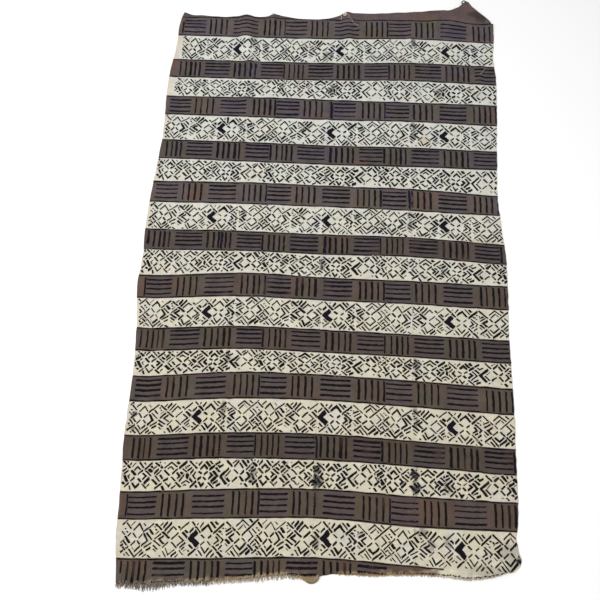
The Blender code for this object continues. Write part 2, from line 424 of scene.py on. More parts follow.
# Stains and other patches of colour, as columns: x, y, half width, half height (mm), colour, strength
STAINS = (
    (468, 42, 66, 40, TAN, 0.45),
    (505, 30, 24, 28, TAN, 0.35),
    (298, 392, 20, 16, TAN, 0.55),
    (-92, 618, 52, 34, TAN, 0.22),
    (452, 560, 26, 20, TAN, 0.20),
    (-320, 700, 26, 26, PALE_LILAC, 0.5),
    (8, 700, 24, 28, PALE_LILAC, 0.6),
    (2, 402, 26, 34, PALE_LILAC, 0.5),
    (326, 412, 22, 28, PALE_LILAC, 0.7),
    (-258, 412, 22, 26, PALE_LILAC, 0.6),
    (-264, 622, 22, 26, PALE_LILAC, 0.25),
    (-445, 786, 40, 20, BARK_LILAC, 0.9),
    (-262, 626, 34, 30, BARK_LILAC, 0.3),
    (24, 492, 40, 30, BARK_LILAC, 0.8),
    (398, 782, 42, 30, BARK_LILAC, 0.9),
    (300, 336, 42, 22, BARK_LILAC, 0.8),
    (252, 196, 12, 32, BARK_LILAC, 1.0),
    (496, 780, 22, 36, BARK_LILAC, 0.5),
    # The HEM_DARK rows make the hem darker at its right end, over its folds.
    (492, 838, 28, 17, HEM_DARK, 1.0),
    (465, 853, 28, 14, HEM_DARK, 0.85),
    (330, 858, 40, 8, HEM_DARK, 0.35),
    (435, 875, 22, 12, HEM_ROSE, 0.8),
    (402, 862, 30, 12, BARK_OLIVE, 0.4),
    (300, 846, 44, 10, BARK_RUST, 0.45),
    (30, 620, 60, 24, BARK_LILAC, 0.35),
    (-386, 192, 34, 34, BARK_RUST, 0.8),
    (112, 308, 22, 12, BARK_RUST, 0.9),
    (-392, -98, 40, 30, BARK_RUST, 0.4),
    (300, 194, 46, 30, BARK_RUST, 0.45),
    (500, 486, 26, 34, BARK_RUST, 0.5),
    (-498, 640, 14, 40, BARK_RUST, 0.9),
    (-506, -90, 14, 60, BARK_RUST, 0.7),
    (-500, -318, 12, 50, BARK_RUST, 0.9),
    (305, -676, 50, 34, BARK_RUST, 0.5),
    # The two GREY_PATCH rows make the lower right corner greyer.
    (500, -764, 46, 34, GREY_PATCH, 0.55),
    (440, -806, 70, 16, GREY_PATCH, 0.6),
    (519, -779, 11, 9, INK_WASH, 1.0),
    (-520, -92, 8, 20, TAN, 0.4),
    (-7, -847, 30, 9, TAN, 0.9),
)
# Mud that soaked through under the stencil's joints: x, y, half width, half height (mm), strength
SMEARS = (
    (7, -582, 11, 16, 0.85), (6, -612, 17, 22, 0.90), (260, -584, 13, 18, 0.95),
    (263, -620, 13, 18, 0.90), (343, -613, 13, 20, 0.35), (-162, -606, 12, 30, 0.50),
    (265, -300, 10, 20, 0.60), (-250, -300, 9, 22, 0.50), (-252, -440, 9, 24, 0.55),
    (-490, -464, 10, 10, 0.70), (-490, -500, 9, 9, 0.60), (262, -424, 9, 12, 0.75),
    (264, -452, 8, 14, 0.65), (10, -760, 9, 22, 0.50), (275, -724, 18, 12, 0.55),
    (300, -752, 14, 14, 0.45), (342, -745, 10, 12, 0.45), (262, 436, 12, 14, 0.70),
    (262, 402, 12, 14, 0.60), (-75, 416, 10, 12, 0.35), (-247, 722, 13, 22, 0.45),
    (-12, 684, 12, 20, 0.50), (265, 738, 13, 16, 0.75), (10, 556, 11, 20, 0.65),
    (-150, 556, 10, 22, 0.30), (345, 556, 16, 24, 0.40), (0, -22, 10, 22, 0.50),
    (345, -28, 12, 18, 0.35), (250, 142, 10, 12, 0.55), (250, 108, 10, 16, 0.60),
)


def blend(base, colour, amount):
    """Colours on the way from base to colour by an amount from 0 to 1 at each point."""
    amount = np.asarray(amount)[..., None]
    return np.asarray(base) * (1 - amount) + np.array(colour) * amount


def patch_reach(x, y, row, unevenness, size, seed):
    """Distance from a patch's centre, 1 at its rim, made uneven; a row starts x, y, half sizes."""
    centre_x, centre_y, half_x, half_y = np.array(row[:4]) * MM
    reach = np.hypot((x - centre_x) / half_x, (y - centre_y) / half_y)
    return reach + unevenness * wander(x, y, size, seed)


def brown_share(x, y):
    """1 in a brown band and 0 in a pale one, turning over within half a millimetre of a line.

    The highest line doesn't count, as it is the border under the hem, with brown on both sides.
    The lowest brown band has no dye left at its right end.
    """
    share = np.ones(np.broadcast(x, y).shape)
    for number in range(HEM_LINE):
        step = ramp(y, line_height(number, x) - 0.5 * MM, line_height(number, x) + 0.5 * MM)
        share = share + (step if number % 2 else -step)
    worn = ramp(x + 6 * MM * wander(x, y, 0.02, 37), WORN_FROM, WORN_TO) * (y < -0.79)
    return np.clip(share, 0, 1) * (1 - worn)


def dye(x, y):
    """Colour of the cloth at each point: pale and brown drifts, the painted change of light down the
    cloth and painted shade along the hem's fold, then every stain and patch over them.

    An ink stain lies on both kinds of band, and any other one only on the kind that it suits.
    """
    x, y = np.broadcast_arrays(x, y)
    # Painted light: down runs from the top of the cloth to its bottom, where the colours are warmer and
    # dimmer.
    down = ramp(-y, -0.62, 0.62)
    pale = blend(PALE_TOP, PALE_LOW, down)
    pale = blend(pale, PALE_EDGE, 0.22 * np.clip(wander(x, y, 0.09, 30), 0, 1))
    pale = blend(pale, PALE_LILAC, 0.25 * np.clip(wander(x, y, 0.07, 31), 0, 1))
    rim = 1 - ramp(x - left_edge(y), 0, 30 * MM) + 0.6 * (1 - ramp(right_edge(y) - x, 0, 14 * MM))
    pale = blend(pale, PALE_EDGE, np.clip(rim, 0, 1) * (0.3 + 0.35 * ramp(y, -0.2, 0.5)))
    pale = pale * (1 + 0.04 * wander(x, y, 0.04, 32))[..., None]
    brown = blend(BARK_TOP, BARK_LOW, down)
    brown = blend(brown, BARK_OLIVE, 0.8 * np.clip(0.25 + 0.7 * wander(x, y, 0.11, 33), 0, 1))
    brown = blend(brown, BARK_RUST, 0.3 * np.clip(wander(x, y, 0.10, 34), 0, 1))
    brown = blend(brown, BARK_RUST, 0.6 * (1 - ramp(x - left_edge(y), 0, 16 * MM)))
    for number, (chart, starts) in COMB_STARTS.items():
        lower, upper = band_span(number, x)
        below, above = (2 * MM if number >= 0 else 1), (2 * MM if number < HEM_LINE - 1 else 1)
        inside = (y > lower - below) & (y < upper + above)
        lying = lying_share(chart, starts, x)
        brown = blend(brown, BARK_LILAC, 0.32 * inside * lying)
        brown = blend(brown, BARK_OLIVE, 0.12 * inside * (1 - lying))
        brown = brown * (1 + inside * (BAND_LIGHTNESS[number] - 1))[..., None]
    hem = ramp(y - line_height(HEM_LINE, x), 0, 6 * MM)
    brown = blend(brown, HEM_ROSE, hem * (0.55 + 0.3 * ramp(x, 0.1, 0.4)))
    brown = brown * (1 + 0.08 * wander(x, y, 0.035, 35))[..., None]
    # Painted shade: the brown is up to 35 % darker within 6 mm of the hem's fold at the upper end.
    brown = brown * (1 - 0.35 * (1 - ramp(upper_end(x) - y, 0, 6 * MM)))[..., None]
    raw = 1 - ramp(y - lower_end(x), 2 * MM, 13 * MM + 5 * MM * wander(x, y, 0.03, 38))
    tan_run = ramp(x, -0.43, -0.36) * (1 - ramp(x, -0.03, 0.0)) + ramp(x, 0.06, 0.11)
    raw = raw * tan_run * np.clip(0.55 + 0.6 * wander(x, y, 0.012, 39), 0, 1)
    brown = blend(brown, TAN, np.clip(raw, 0, 0.55))
    is_brown = brown_share(x, y)
    colour = pale * (1 - is_brown[..., None]) + brown * is_brown[..., None]
    for row in STAINS:
        stain, strength = row[4:]
        if stain is INK_WASH or row[1] < RAW_END:
            fits = 1
        else:
            fits = is_brown if max(stain) < DARKEST_PALE else 1 - is_brown
        reach = patch_reach(x, y, row, 0.22, 0.03, 36)
        colour = blend(colour, stain, strength * fits * (1 - ramp(reach, 0.55, 1.05)))
    for row in SMEARS:
        reach = patch_reach(x, y, row, 0.25, 0.016, 57)
        colour = blend(colour, INK_WASH, row[4] * (1 - ramp(reach, 0.55, 1.05)))
    return np.clip(colour, 0, 1)


print(len(STAINS), "stains and", len(SMEARS), "smears")

# %% [markdown]
# ## Meshes from arrays
#
# Every piece below is a set of points worked out as whole arrays. Values kept on points travel
# with the mesh, so a material can follow the band, the stroke or the yarn.

# %% Mesh helpers
def grid_quads(rows, columns, first=0):
    """Faces of a grid of points numbered row by row, facing up when x and y both grow."""
    corner = first + np.arange((rows - 1) * columns).reshape(rows - 1, columns)[:, :-1]
    quads = np.stack((corner, corner + 1, corner + columns + 1, corner + columns), -1)
    return quads.reshape(-1, 4)


def make_piece(name, points, faces, material, colours, values=None, more_colours=None):
    """A smooth mesh object with its material, point colours and point values, on the root body."""
    mesh = bpy.data.meshes.new(name)
    faces = faces if isinstance(faces, list) else faces.tolist()
    mesh.from_pydata(np.asarray(points).reshape(-1, 3).tolist(), [], faces)
    for label, colour in {"dye": colours, **(more_colours or {})}.items():
        rgba = np.ones((len(mesh.vertices), 4), np.float32)
        rgba[:, :3] = np.asarray(colour).reshape(-1, 3)
        mesh.attributes.new(label, "FLOAT_COLOR", "POINT").data.foreach_set("color", rgba.ravel())
    for label, numbers in (values or {}).items():
        numbers = np.ascontiguousarray(numbers, np.float32).ravel()
        mesh.attributes.new(label, "FLOAT", "POINT").data.foreach_set("value", numbers)
    mesh.materials.append(material)
    mesh.shade_smooth()
    mesh.update()
    piece = bpy.data.objects.new(name, mesh)
    bpy.context.scene.collection.objects.link(piece)
    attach(piece, "root")
    print(name, len(mesh.vertices), "points,", len(mesh.polygons), "faces")
    return piece


# %% [markdown]
# ## Weave, as a node group
#
# Handspun cotton is a plain weave: warp along the cloth, weft across, over and under in turn, and
# the yarn is thick and thin. A picture of cloth would show its repeat, so the threads are sine
# waves of the place on the cloth, bent by noise, and the slubs are noise drawn out along the
# threads. It is built once, and the cloth and the painted mud both use it.

# %% Weave group
def new_group(name, inputs, outputs):
    """An empty shader node group with named sockets; each entry is a name and a socket kind."""
    group = bpy.data.node_groups.new(name, "ShaderNodeTree")
    for label, kind in inputs:
        group.interface.new_socket(label, in_out="INPUT", socket_type="NodeSocket" + kind)
    for label, kind in outputs:
        group.interface.new_socket(label, in_out="OUTPUT", socket_type="NodeSocket" + kind)
    return group, group.nodes.new("NodeGroupInput"), group.nodes.new("NodeGroupOutput")


def place_node(tree, kind, inputs=None, **settings):
    """Add a node, set its settings, and link or set the inputs named by place or by name."""
    node = tree.nodes.new("ShaderNode" + kind)
    for label, value in settings.items():
        setattr(node, label, value)
    for label, value in (inputs or {}).items():
        if isinstance(value, bpy.types.NodeSocket):
            tree.links.new(value, node.inputs[label])
        else:
            node.inputs[label].default_value = value
    return node


def maths(tree, operation, *values):
    """One sum: operation applied to links or numbers. Returns its output socket."""
    return place_node(tree, "Math", dict(enumerate(values)), operation=operation).outputs[0]


def scaled(tree, colour, shade):
    """A colour times a shade. Returns its output socket."""
    return place_node(tree, "VectorMath", {0: colour, "Scale": shade}, operation="SCALE").outputs[0]


def noise(tree, place, scale, detail=2.0, roughness=0.5, centred=False):
    """Noise from 0 to 1, or from -0.5 to 0.5 if centred, with a grain of about 1 / scale metres."""
    grain = place_node(tree, "TexNoise", {
        "Vector": place, "Scale": scale, "Detail": detail, "Roughness": roughness}).outputs[0]
    return maths(tree, "SUBTRACT", grain, 0.5) if centred else grain


def summed(tree, start, *terms):
    """A value plus each term's value times its share. Returns its output socket."""
    for value, share in terms:
        start = maths(tree, "MULTIPLY_ADD", value, share, start)
    return start


def build_weave():
    """Threads: height and shade of a plain weave of 1.3 mm threads, and slubs along them."""
    tree, given, result = new_group(
        "cotton_weave", (("Place", "Vector"),), (("Threads", "Float"), ("Slubs", "Float")))
    place = given.outputs["Place"]
    bend = maths(tree, "MULTIPLY", noise(tree, place, 130.0, centred=True), 5.0)
    parts = place_node(tree, "SeparateXYZ", {0: place})
    turns = 2 * np.pi / (1.3 * MM)
    across, along = (
        maths(tree, "SINE", maths(tree, "MULTIPLY_ADD", parts.outputs[axis], turns, bend))
        for axis in (0, 1))
    threads = maths(tree, "MULTIPLY_ADD", maths(tree, "MULTIPLY", across, along), 0.5, 0.5)
    drawn_out = (
        place_node(tree, "VectorMath", {0: place, 1: scale}, operation="MULTIPLY")
        for scale in ((60.0, 420.0, 60.0), (420.0, 45.0, 60.0)))
    weft, warp = (noise(tree, node.outputs[0], 1.0) for node in drawn_out)
    slubs = maths(tree, "MULTIPLY", maths(tree, "ADD", weft, warp), 0.5)
    tree.links.new(threads, result.inputs["Threads"])
    tree.links.new(slubs, result.inputs["Slubs"])
    return tree


WEAVE = build_weave()
print("weave group with", len(WEAVE.nodes), "nodes")

# %% [markdown]
# ## Dyed cloth, as a node group
#
# The dye stored on the points changes slowly. Close up, the yarns took it unevenly, so this group
# mottles it and makes it lighter and darker along slubs. It also darkens it in the dips between the
# threads' crowns, which is painted shade, and gives the height of the threads for the bump. The
# painted marks use the same group where the mud is thin, so that their bare rims can't be told from
# the cloth under them.

# %% Dyed cloth group
def build_dyed_cloth():
    """Colour, roughness and height of dyed cotton, from the dye at a point and its place."""
    tree, given, result = new_group(
        "dyed_cloth", (("Place", "Vector"), ("Dye", "Color")),
        (("Colour", "Color"), ("Roughness", "Float"), ("Height", "Float")))
    place = given.outputs["Place"]
    weave = place_node(tree, "Group", {"Place": place}, node_tree=WEAVE)
    threads, slubs = weave.outputs["Threads"], weave.outputs["Slubs"]
    mottle = noise(tree, place, 95.0, 4.0, 0.6)
    # 0.345 is 0.80 less half of 0.55 and half of 0.36, so that slubs and mottle leave it as light
    # The threads term darkens the dips between the threads' crowns: painted shade.
    shade = summed(tree, 0.345, (threads, 0.16), (slubs, 0.55), (mottle, 0.36))
    tree.links.new(scaled(tree, given.outputs["Dye"], shade), result.inputs["Colour"])
    tree.links.new(summed(tree, 0.84, (mottle, 0.12)), result.inputs["Roughness"])
    tree.links.new(summed(tree, 0.0, (threads, 0.6), (slubs, 1.2)), result.inputs["Height"])
    return tree


DYED_CLOTH = build_dyed_cloth()


def new_material(name):
    """A material with its Principled shader, ready for colour, roughness and normal."""
    material = bpy.data.materials.new(name)
    material.use_nodes = True
    tree = material.node_tree
    shader = tree.nodes["Principled BSDF"]
    shader.inputs["Specular IOR Level"].default_value = 0.10
    shader.inputs["Sheen Weight"].default_value = 0.02
    shader.inputs["Sheen Roughness"].default_value = 0.6
    return material, tree, shader


def stored(tree, label, output="Color"):
    """What the points keep under a label, as an output socket."""
    return place_node(tree, "Attribute", attribute_name=label).outputs[output]


def object_place(tree):
    """The place on the cloth, as an output socket. Every piece has its origin at the world's."""
    return place_node(tree, "TexCoord").outputs["Object"]


def dyed_cloth(tree):
    """The dyed cloth group, given the place and the stored dye."""
    return place_node(tree, "Group", {"Place": object_place(tree), "Dye": stored(tree, "dye")},
                      node_tree=DYED_CLOTH)


def shade_with(tree, shader, colour, roughness, height, strength=0.5, distance=0.35):
    """Link colour and roughness to the shader, and height to its normal by a bump (mm)."""
    bump = place_node(tree, "Bump", {"Height": height, "Strength": strength, "Distance": distance * MM})
    for label, value in (("Base Color", colour), ("Roughness", roughness), ("Normal", bump.outputs[0])):
        tree.links.new(value, shader.inputs[label])


def cloth_material():
    """The strips' dyed cotton: the stored dye through the dyed cloth group, with thread bump."""
    material, tree, shader = new_material("dyed_cotton")
    cloth = dyed_cloth(tree).outputs
    shade_with(tree, shader, cloth["Colour"], cloth["Roughness"], cloth["Height"])
    return material


COTTON = cloth_material()
print("material", COTTON.name)

# %% [markdown]
# ## The four strips
#
# Each strip is one sheet. Its columns run along the threads from one selvedge or seam to the next.
# Its rows follow the border lines, with two rows a millimetre apart at each line, so the dye
# changes sharply there without a fine mesh everywhere else. Solidify gives the sheet its
# thickness downwards, which leaves the upper face where the folds put it.

# %% The four strips
CELL = 5 * MM


def across_places():
    """Shares of a strip's width for its columns: close together beside a seam, 5.4 mm between."""
    beside = np.array((0, 1.3, 2.7, 4.4, 6.6, 9.6, 13.6)) * MM
    width = 262 * MM
    middle = np.linspace(beside[-1], width - beside[-1], 45)[1:-1]
    return np.concatenate((beside, middle, width - beside[::-1])) / width


ACROSS = across_places()


def settled(line, across):
    """A row that lies on a line in every column: the columns move with y, so it takes three rounds."""
    y = np.zeros(len(ACROSS))
    for _ in range(3):
        y = line(across(y))
    return y


def row_places(across):
    """Rows up a strip in each column: both ends and every border line, with even rows between."""
    pair = 0.5 * MM
    stops = [settled(lower_end, across)]
    for number in range(len(LINE_ROWS)):
        row = settled(lambda x: line_height(number, x), across)
        stops += [row - pair, row + pair]
    stops = np.maximum.accumulate(np.stack(stops + [settled(upper_end, across)]), axis=0)
    middle = stops[:, len(ACROSS) // 2]
    rows = []
    for lower in range(len(stops) - 1):
        count = max(1, int(round((middle[lower + 1] - middle[lower]) / CELL)))
        share = np.arange(count)[:, None] / count
        rows.append(stops[lower] + share * (stops[lower + 1] - stops[lower]))
    return np.concatenate(rows + [stops[-1:]])


def strip_points(left_line, right_line):
    """Points of one strip's face: rows by columns by x, y, z, at even shares between its lines."""
    def across(y):
        return left_line(y) + ACROSS * (right_line(y) - left_line(y))

    y = row_places(across)
    x = across(y)
    return np.stack((x, y, face(x, y)), -1)


def with_hem(points):
    """Rows added at the upper end, which turn over and run back under for the hem's depth.

    The turn is half a circle with a radius of one thickness, and the cloth then lies flat below.
    """
    end = points[-1]
    under = lift(end[:, 0], end[:, 1]) + rumple(end[:, 0], end[:, 1])
    radius = (end[:, 2] - under) / 2
    depth = hem_depth(end[:, 0])
    rows = [points.copy()]
    rows[0][-1, :, 1] -= radius
    for angle in np.radians((45, 90, 135, 180)):
        y = end[:, 1] - radius + radius * np.sin(angle)
        rows.append(np.stack((end[:, 0], y, under + radius + radius * np.cos(angle)), -1)[None])
    for share in (0.35, 0.7, 1.0):
        y = end[:, 1] - radius - share * (depth - radius)
        rows.append(np.stack((end[:, 0], y, lift(end[:, 0], y) + rumple(end[:, 0], y)), -1)[None])
    return np.concatenate(rows)


sheet_grids = []
side_lines = (left_edge, seam(1), seam(2), seam(3), right_edge)
for number in (1, 2, 3, 4):
    points = strip_points(side_lines[number - 1], side_lines[number])
    sheet_grids.append(points)
    points = with_hem(points)
    rows, columns = points.shape[:2]
    colours = dye(points[..., 0], points[..., 1])
    piece = make_piece(f"cloth_strip_{number}", points, grid_quads(rows, columns), COTTON,
                       colours)
    thick = piece.modifiers.new("thickness", "SOLIDIFY")
    thick.thickness = THICKNESS * 0.92
    thick.offset = -1
    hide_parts(f"strip_{number}")
    size = np.ptp(points.reshape(-1, 3), axis=0) + (0, float(hem_depth(points[-1, :, 0]).max()), 0)

# %% [markdown]
# ## Laying things on the cloth
#
# Mud, thread and loose yarn all lie on the strips, so they need the height of the built sheets
# rather than of the formula behind them: between two rows of points a sheet is straight, and a
# thin layer set on the formula would dip into it at each fold.

# %% Height of the built sheets
def on_cloth(x, y):
    """Height of the built sheets at any place: linear up two columns, then between the columns."""
    x, y = np.broadcast_arrays(x, y)
    height = np.full(x.shape, THICKNESS)
    for number, points in enumerate(sheet_grids):
        left, right = side_lines[number](y), side_lines[number + 1](y)
        share = (x - left) / (right - left)
        column = np.clip(np.searchsorted(ACROSS, share, side="right") - 1, 0, len(ACROSS) - 2)
        part = np.clip((share - ACROSS[column]) / (ACROSS[column + 1] - ACROSS[column]), 0, 1)
        stacked_y = (points[..., 1] + 10 * np.arange(len(ACROSS))).T.ravel()
        stacked_z = points[..., 2].T.ravel()
        first = np.interp(y + 10 * column, stacked_y, stacked_z)
        second = np.interp(y + 10 * (column + 1), stacked_y, stacked_z)
        here = (share >= (0 if number else -1)) & (share <= (1 if number < 3 else 2))
        height = np.where(here, first + part * (second - first), height)
    return height


def strip_at(x, y):
    """Number of the strip, 1 to 4, that a place lies on."""
    return 1 + sum((x > seam(number)(y)).astype(int) for number in (1, 2, 3))


print("height in each strip's middle:", [
    millimetres(on_cloth(x, 0.03)) for x in (-0.38, -0.13, 0.13, 0.38)], "mm")

# %% [markdown]
# ## Brush strokes
#
# Fermented mud goes on with a stick or through a stencil, and it bites into the yarn. A stroke
# has a full middle, a rim broken by the weave, and an end that is blunt where the hand pressed
# and dry where it left. An image would fix all that at one size. Here each stroke is a ribbon on
# the cloth, and each point holds how much mud it has: full along the middle and none at the rims.

# %% Ribbons along a path
# Each load of the brush: width (mm), mud held
BRUSHES = {
    "plain": (4.2, 1.0), "thick": (5.1, 1.08), "thin": (3.5, 0.85), "faint": (3.7, 0.62),
    "heavy": (6.0, 1.12), "line": (4.9, 1.05), "dot": (3.6, 1.05),
}


# A ribbon's rims lie this many brush widths from its middle, and its ends this many past its path
RIM, TIP = 0.8, 0.66


def stroke_stations(brush, path, pitch):
    """One stroke as stations: rows of centre, sideways step, mud and distance from its start.

    The sideways step is the half width times the normal, lengthened by 1 / cos(half the turn)
    at a corner. The first and last rows have no mud, so that the stroke's ends fade like its rims.
    """
    width, mud = BRUSHES[brush]
    path = np.array(path, dtype=float).reshape(-1, 2)
    legs = np.linalg.norm(np.diff(path, axis=0), axis=1)
    counts = np.maximum(1, np.ceil(legs / pitch)).astype(int)
    places = [np.linspace(0, 1, count, endpoint=False) + leg for leg, count in enumerate(counts)]
    places = np.concatenate(places + [[len(legs)]])
    centre = np.stack([np.interp(places, np.arange(len(path)), path[:, axis]) for axis in (0, 1)], -1)
    ahead = np.diff(centre, axis=0)
    ahead = ahead / np.linalg.norm(ahead, axis=1, keepdims=True)
    centre = np.concatenate((
        [centre[0] - ahead[0] * width * TIP], [centre[0]], centre[1:-1],
        [centre[-1]], [centre[-1] + ahead[-1] * width * TIP]))
    ahead = np.concatenate(([ahead[0]], ahead, [ahead[-1]]))
    turn = (ahead + np.concatenate((ahead[:1], ahead[:-1]))) / 2
    turn = np.concatenate((turn, [ahead[-1]]))
    cosine = np.maximum(np.linalg.norm(turn, axis=1, keepdims=True), 0.55)
    side = np.stack((-turn[:, 1], turn[:, 0]), -1) / cosine ** 2 * width * RIM
    held = np.full(len(centre), mud)
    held[[0, -1]] = 0
    return np.column_stack((centre, side, held))


def chart_stations(chart, pitch):
    """All strokes of a chart as one array of stations, with each stroke's number in the last column."""
    rows = []
    for brush, strokes in chart.items():
        rows += [stroke_stations(brush, path, pitch) for path in strokes]
    numbers = np.repeat(np.arange(len(rows)), [len(stroke) for stroke in rows])
    return np.column_stack((np.concatenate(rows), numbers))


print(len(BRUSHES), "brush loads; one stroke has",
      len(stroke_stations("plain", (0, 0, 20, 10), 3.0)), "stations")

# %% [markdown]
# ## The wide band's motif
#
# The pale bands carry a lattice of little flowers between chevrons, printed with one stencil
# and moved along by its own length. It is charted as short strokes, in millimetres to
# the right of the stencil's start and down from the band's upper border. The repeat is small
# enough to chart once, and every print then differs through its own shift, load and dryness.

# %% The wide motif
WIDE_LENGTH, WIDE_HEIGHT = 342, 85
WIDE = {
    "plain": (
        (2, 7, 25.5, 26), (5, 35.5, 19.5, 27), (5, 72, 22.5, 58.5), (29.5, 15.5, 45, 3, 62, 15.5),
        (34.5, 23.5, 47, 12), (31, 28, 38, 35), (45.5, 36, 85.5, 2), (84.5, 8, 96.5, 20),
        (62, 2.5, 69, 8.5), (63.5, 27.5, 74.5, 39.5, 63, 49.5), (26.5, 53, 38, 44.5),
        (47, 43.5, 57, 53.5), (31.5, 59, 42, 68, 57, 54), (62, 57, 74.5, 69.5), (68.5, 56, 96, 30),
        (78.5, 46, 89.5, 57), (80, 60, 87, 67), (74, 60, 80, 56), (90, 72, 98.5, 79.5),
        (19.5, 70.5, 28.5, 81), (104.5, 23, 117.5, 9.5, 130, 27), (103, 29.5, 111, 39),
        (119, 39.5, 126.5, 32.5), (100.5, 56, 109.5, 47), (116.5, 47, 122.5, 54),
        (97, 64.5, 112, 81.5, 130, 66), (139, 29.5, 153, 43.5), (136, 61.5, 152.5, 52.5),
        (142, 67.5, 152, 63), (130, 26.5, 155, 9), (126, 78.5, 134.5, 72.5), (134, 82, 141.5, 77.5),
        (147, 79, 153.5, 83.5), (173, 13.5, 179.5, 8), (162, 42.5, 176, 32.5), (160, 57, 170.5, 65),
        (192.5, 29, 207, 15, 215, 21.5), (206, 43, 221, 30.5), (183, 61.5, 195, 51),
        (206, 51, 219.5, 62.5), (191, 63.5, 199, 77.5, 214.5, 66.5), (184.5, 70, 192.5, 81),
        (207.5, 80.5, 219.5, 72), (224.5, 36.5, 236.5, 46, 221.5, 57.5), (229, 61, 241.5, 51),
        (233.5, 65.5, 240.5, 60.5), (221, 16, 224.5, 19.5), (226.5, 68.5, 236, 77),
        (255, 6, 266, 17), (252.5, 57.5, 260.5, 64.5), (252.5, 78.5, 275.5, 60.5),
        (277.5, 17.5, 285, 8), (305.5, 6, 317.5, 18.5), (282, 33.5, 289.5, 39.5),
        (301, 40.5, 307.5, 36), (281.5, 56.5, 290, 49.5), (300, 50, 306.5, 56.5),
        (284.5, 61.5, 294, 74, 303.5, 64), (277.5, 67.5, 287, 79), (298.5, 82, 312.5, 68.5),
        (310.5, 81.5, 317.5, 74.5), (321, 39, 327, 46.5, 317, 53.5), (322, 58, 328.5, 55),
        (329, 65, 337, 58), (327, 26, 332, 28), (313.5, 59.5, 327, 72),
    ),
    "thick": (
        (3, 27.5, 15.5, 21.5), (23, 34, 12, 41, 21, 49.5), (5, 46.5, 14, 54), (58, 77.5, 67, 70.5),
        (39.5, 80.5, 61, 64), (74, 75, 94.5, 60), (111.5, 70.5, 123, 60.5),
        (133, 32, 143, 47, 130, 57.5), (146, 22, 154.5, 32), (162, 10, 177, 22),
        (181, 17.5, 189.5, 7.5), (186, 24.5, 201, 8.5), (183.5, 36.5, 172.5, 43.5, 185.5, 53),
        (159.5, 47.5, 176, 58.5), (180.5, 27.5, 197, 40.5), (232.5, 29.5, 245.5, 41.5),
        (238.5, 24.5, 244.5, 29), (250, 28.5, 258.5, 20.5), (266, 17, 277.5, 28.5),
        (283, 24.5, 297.5, 12.5, 309.5, 26.5), (317, 7, 322, 12), (314.5, 29.5, 338.5, 10),
        (327, 72, 338.5, 83), (84, 37.5, 96, 51), (322, 32, 339, 45.5, 334, 51.5),
    ),
    "thin": ((72, 23.5, 82, 33), (22, 61, 39.5, 80.5), (226.5, 23, 247.5, 7)),
    "faint": (
        (3, 54.5, 9, 60), (47, 12, 54.5, 21), (96, 12.5, 106.5, 4), (11, 74, 17, 78.5),
        (103.5, 60.5, 111.5, 70.5), (130, 8, 134.5, 13.5), (162, 32, 170, 26.5), (160, 66, 166, 71),
        (217.5, 83, 224.5, 77), (238, 69.5, 245, 66), (269, 11, 272, 7.5),
    ),
    "dot": (
        (2, 22, 3, 24.5), (81, 20, 83, 21),
        (87, 25.5, 88.5, 27.5), (85, 77, 87, 79), (159, 16, 161, 17), (161, 22, 163, 24),
        (177, 79, 179, 80.5), (250, 68, 252, 70), (272.5, 77, 274.5, 79), (324, 81, 325.5, 83),
        (336, 19, 338, 20.5), (334.5, 31, 336, 33), (335.5, 69.5, 337, 71.5),
    ),
}
print("wide motif:", sum(len(strokes) for strokes in WIDE.values()), "strokes")

# %% [markdown]
# ## The narrow band's motif
#
# The narrow bands repeat the same flowers squeezed to a lower height, from a second stencil with
# no solid chevron. It is charted in the same way. Its first stroke stands 10 mm into the chart.

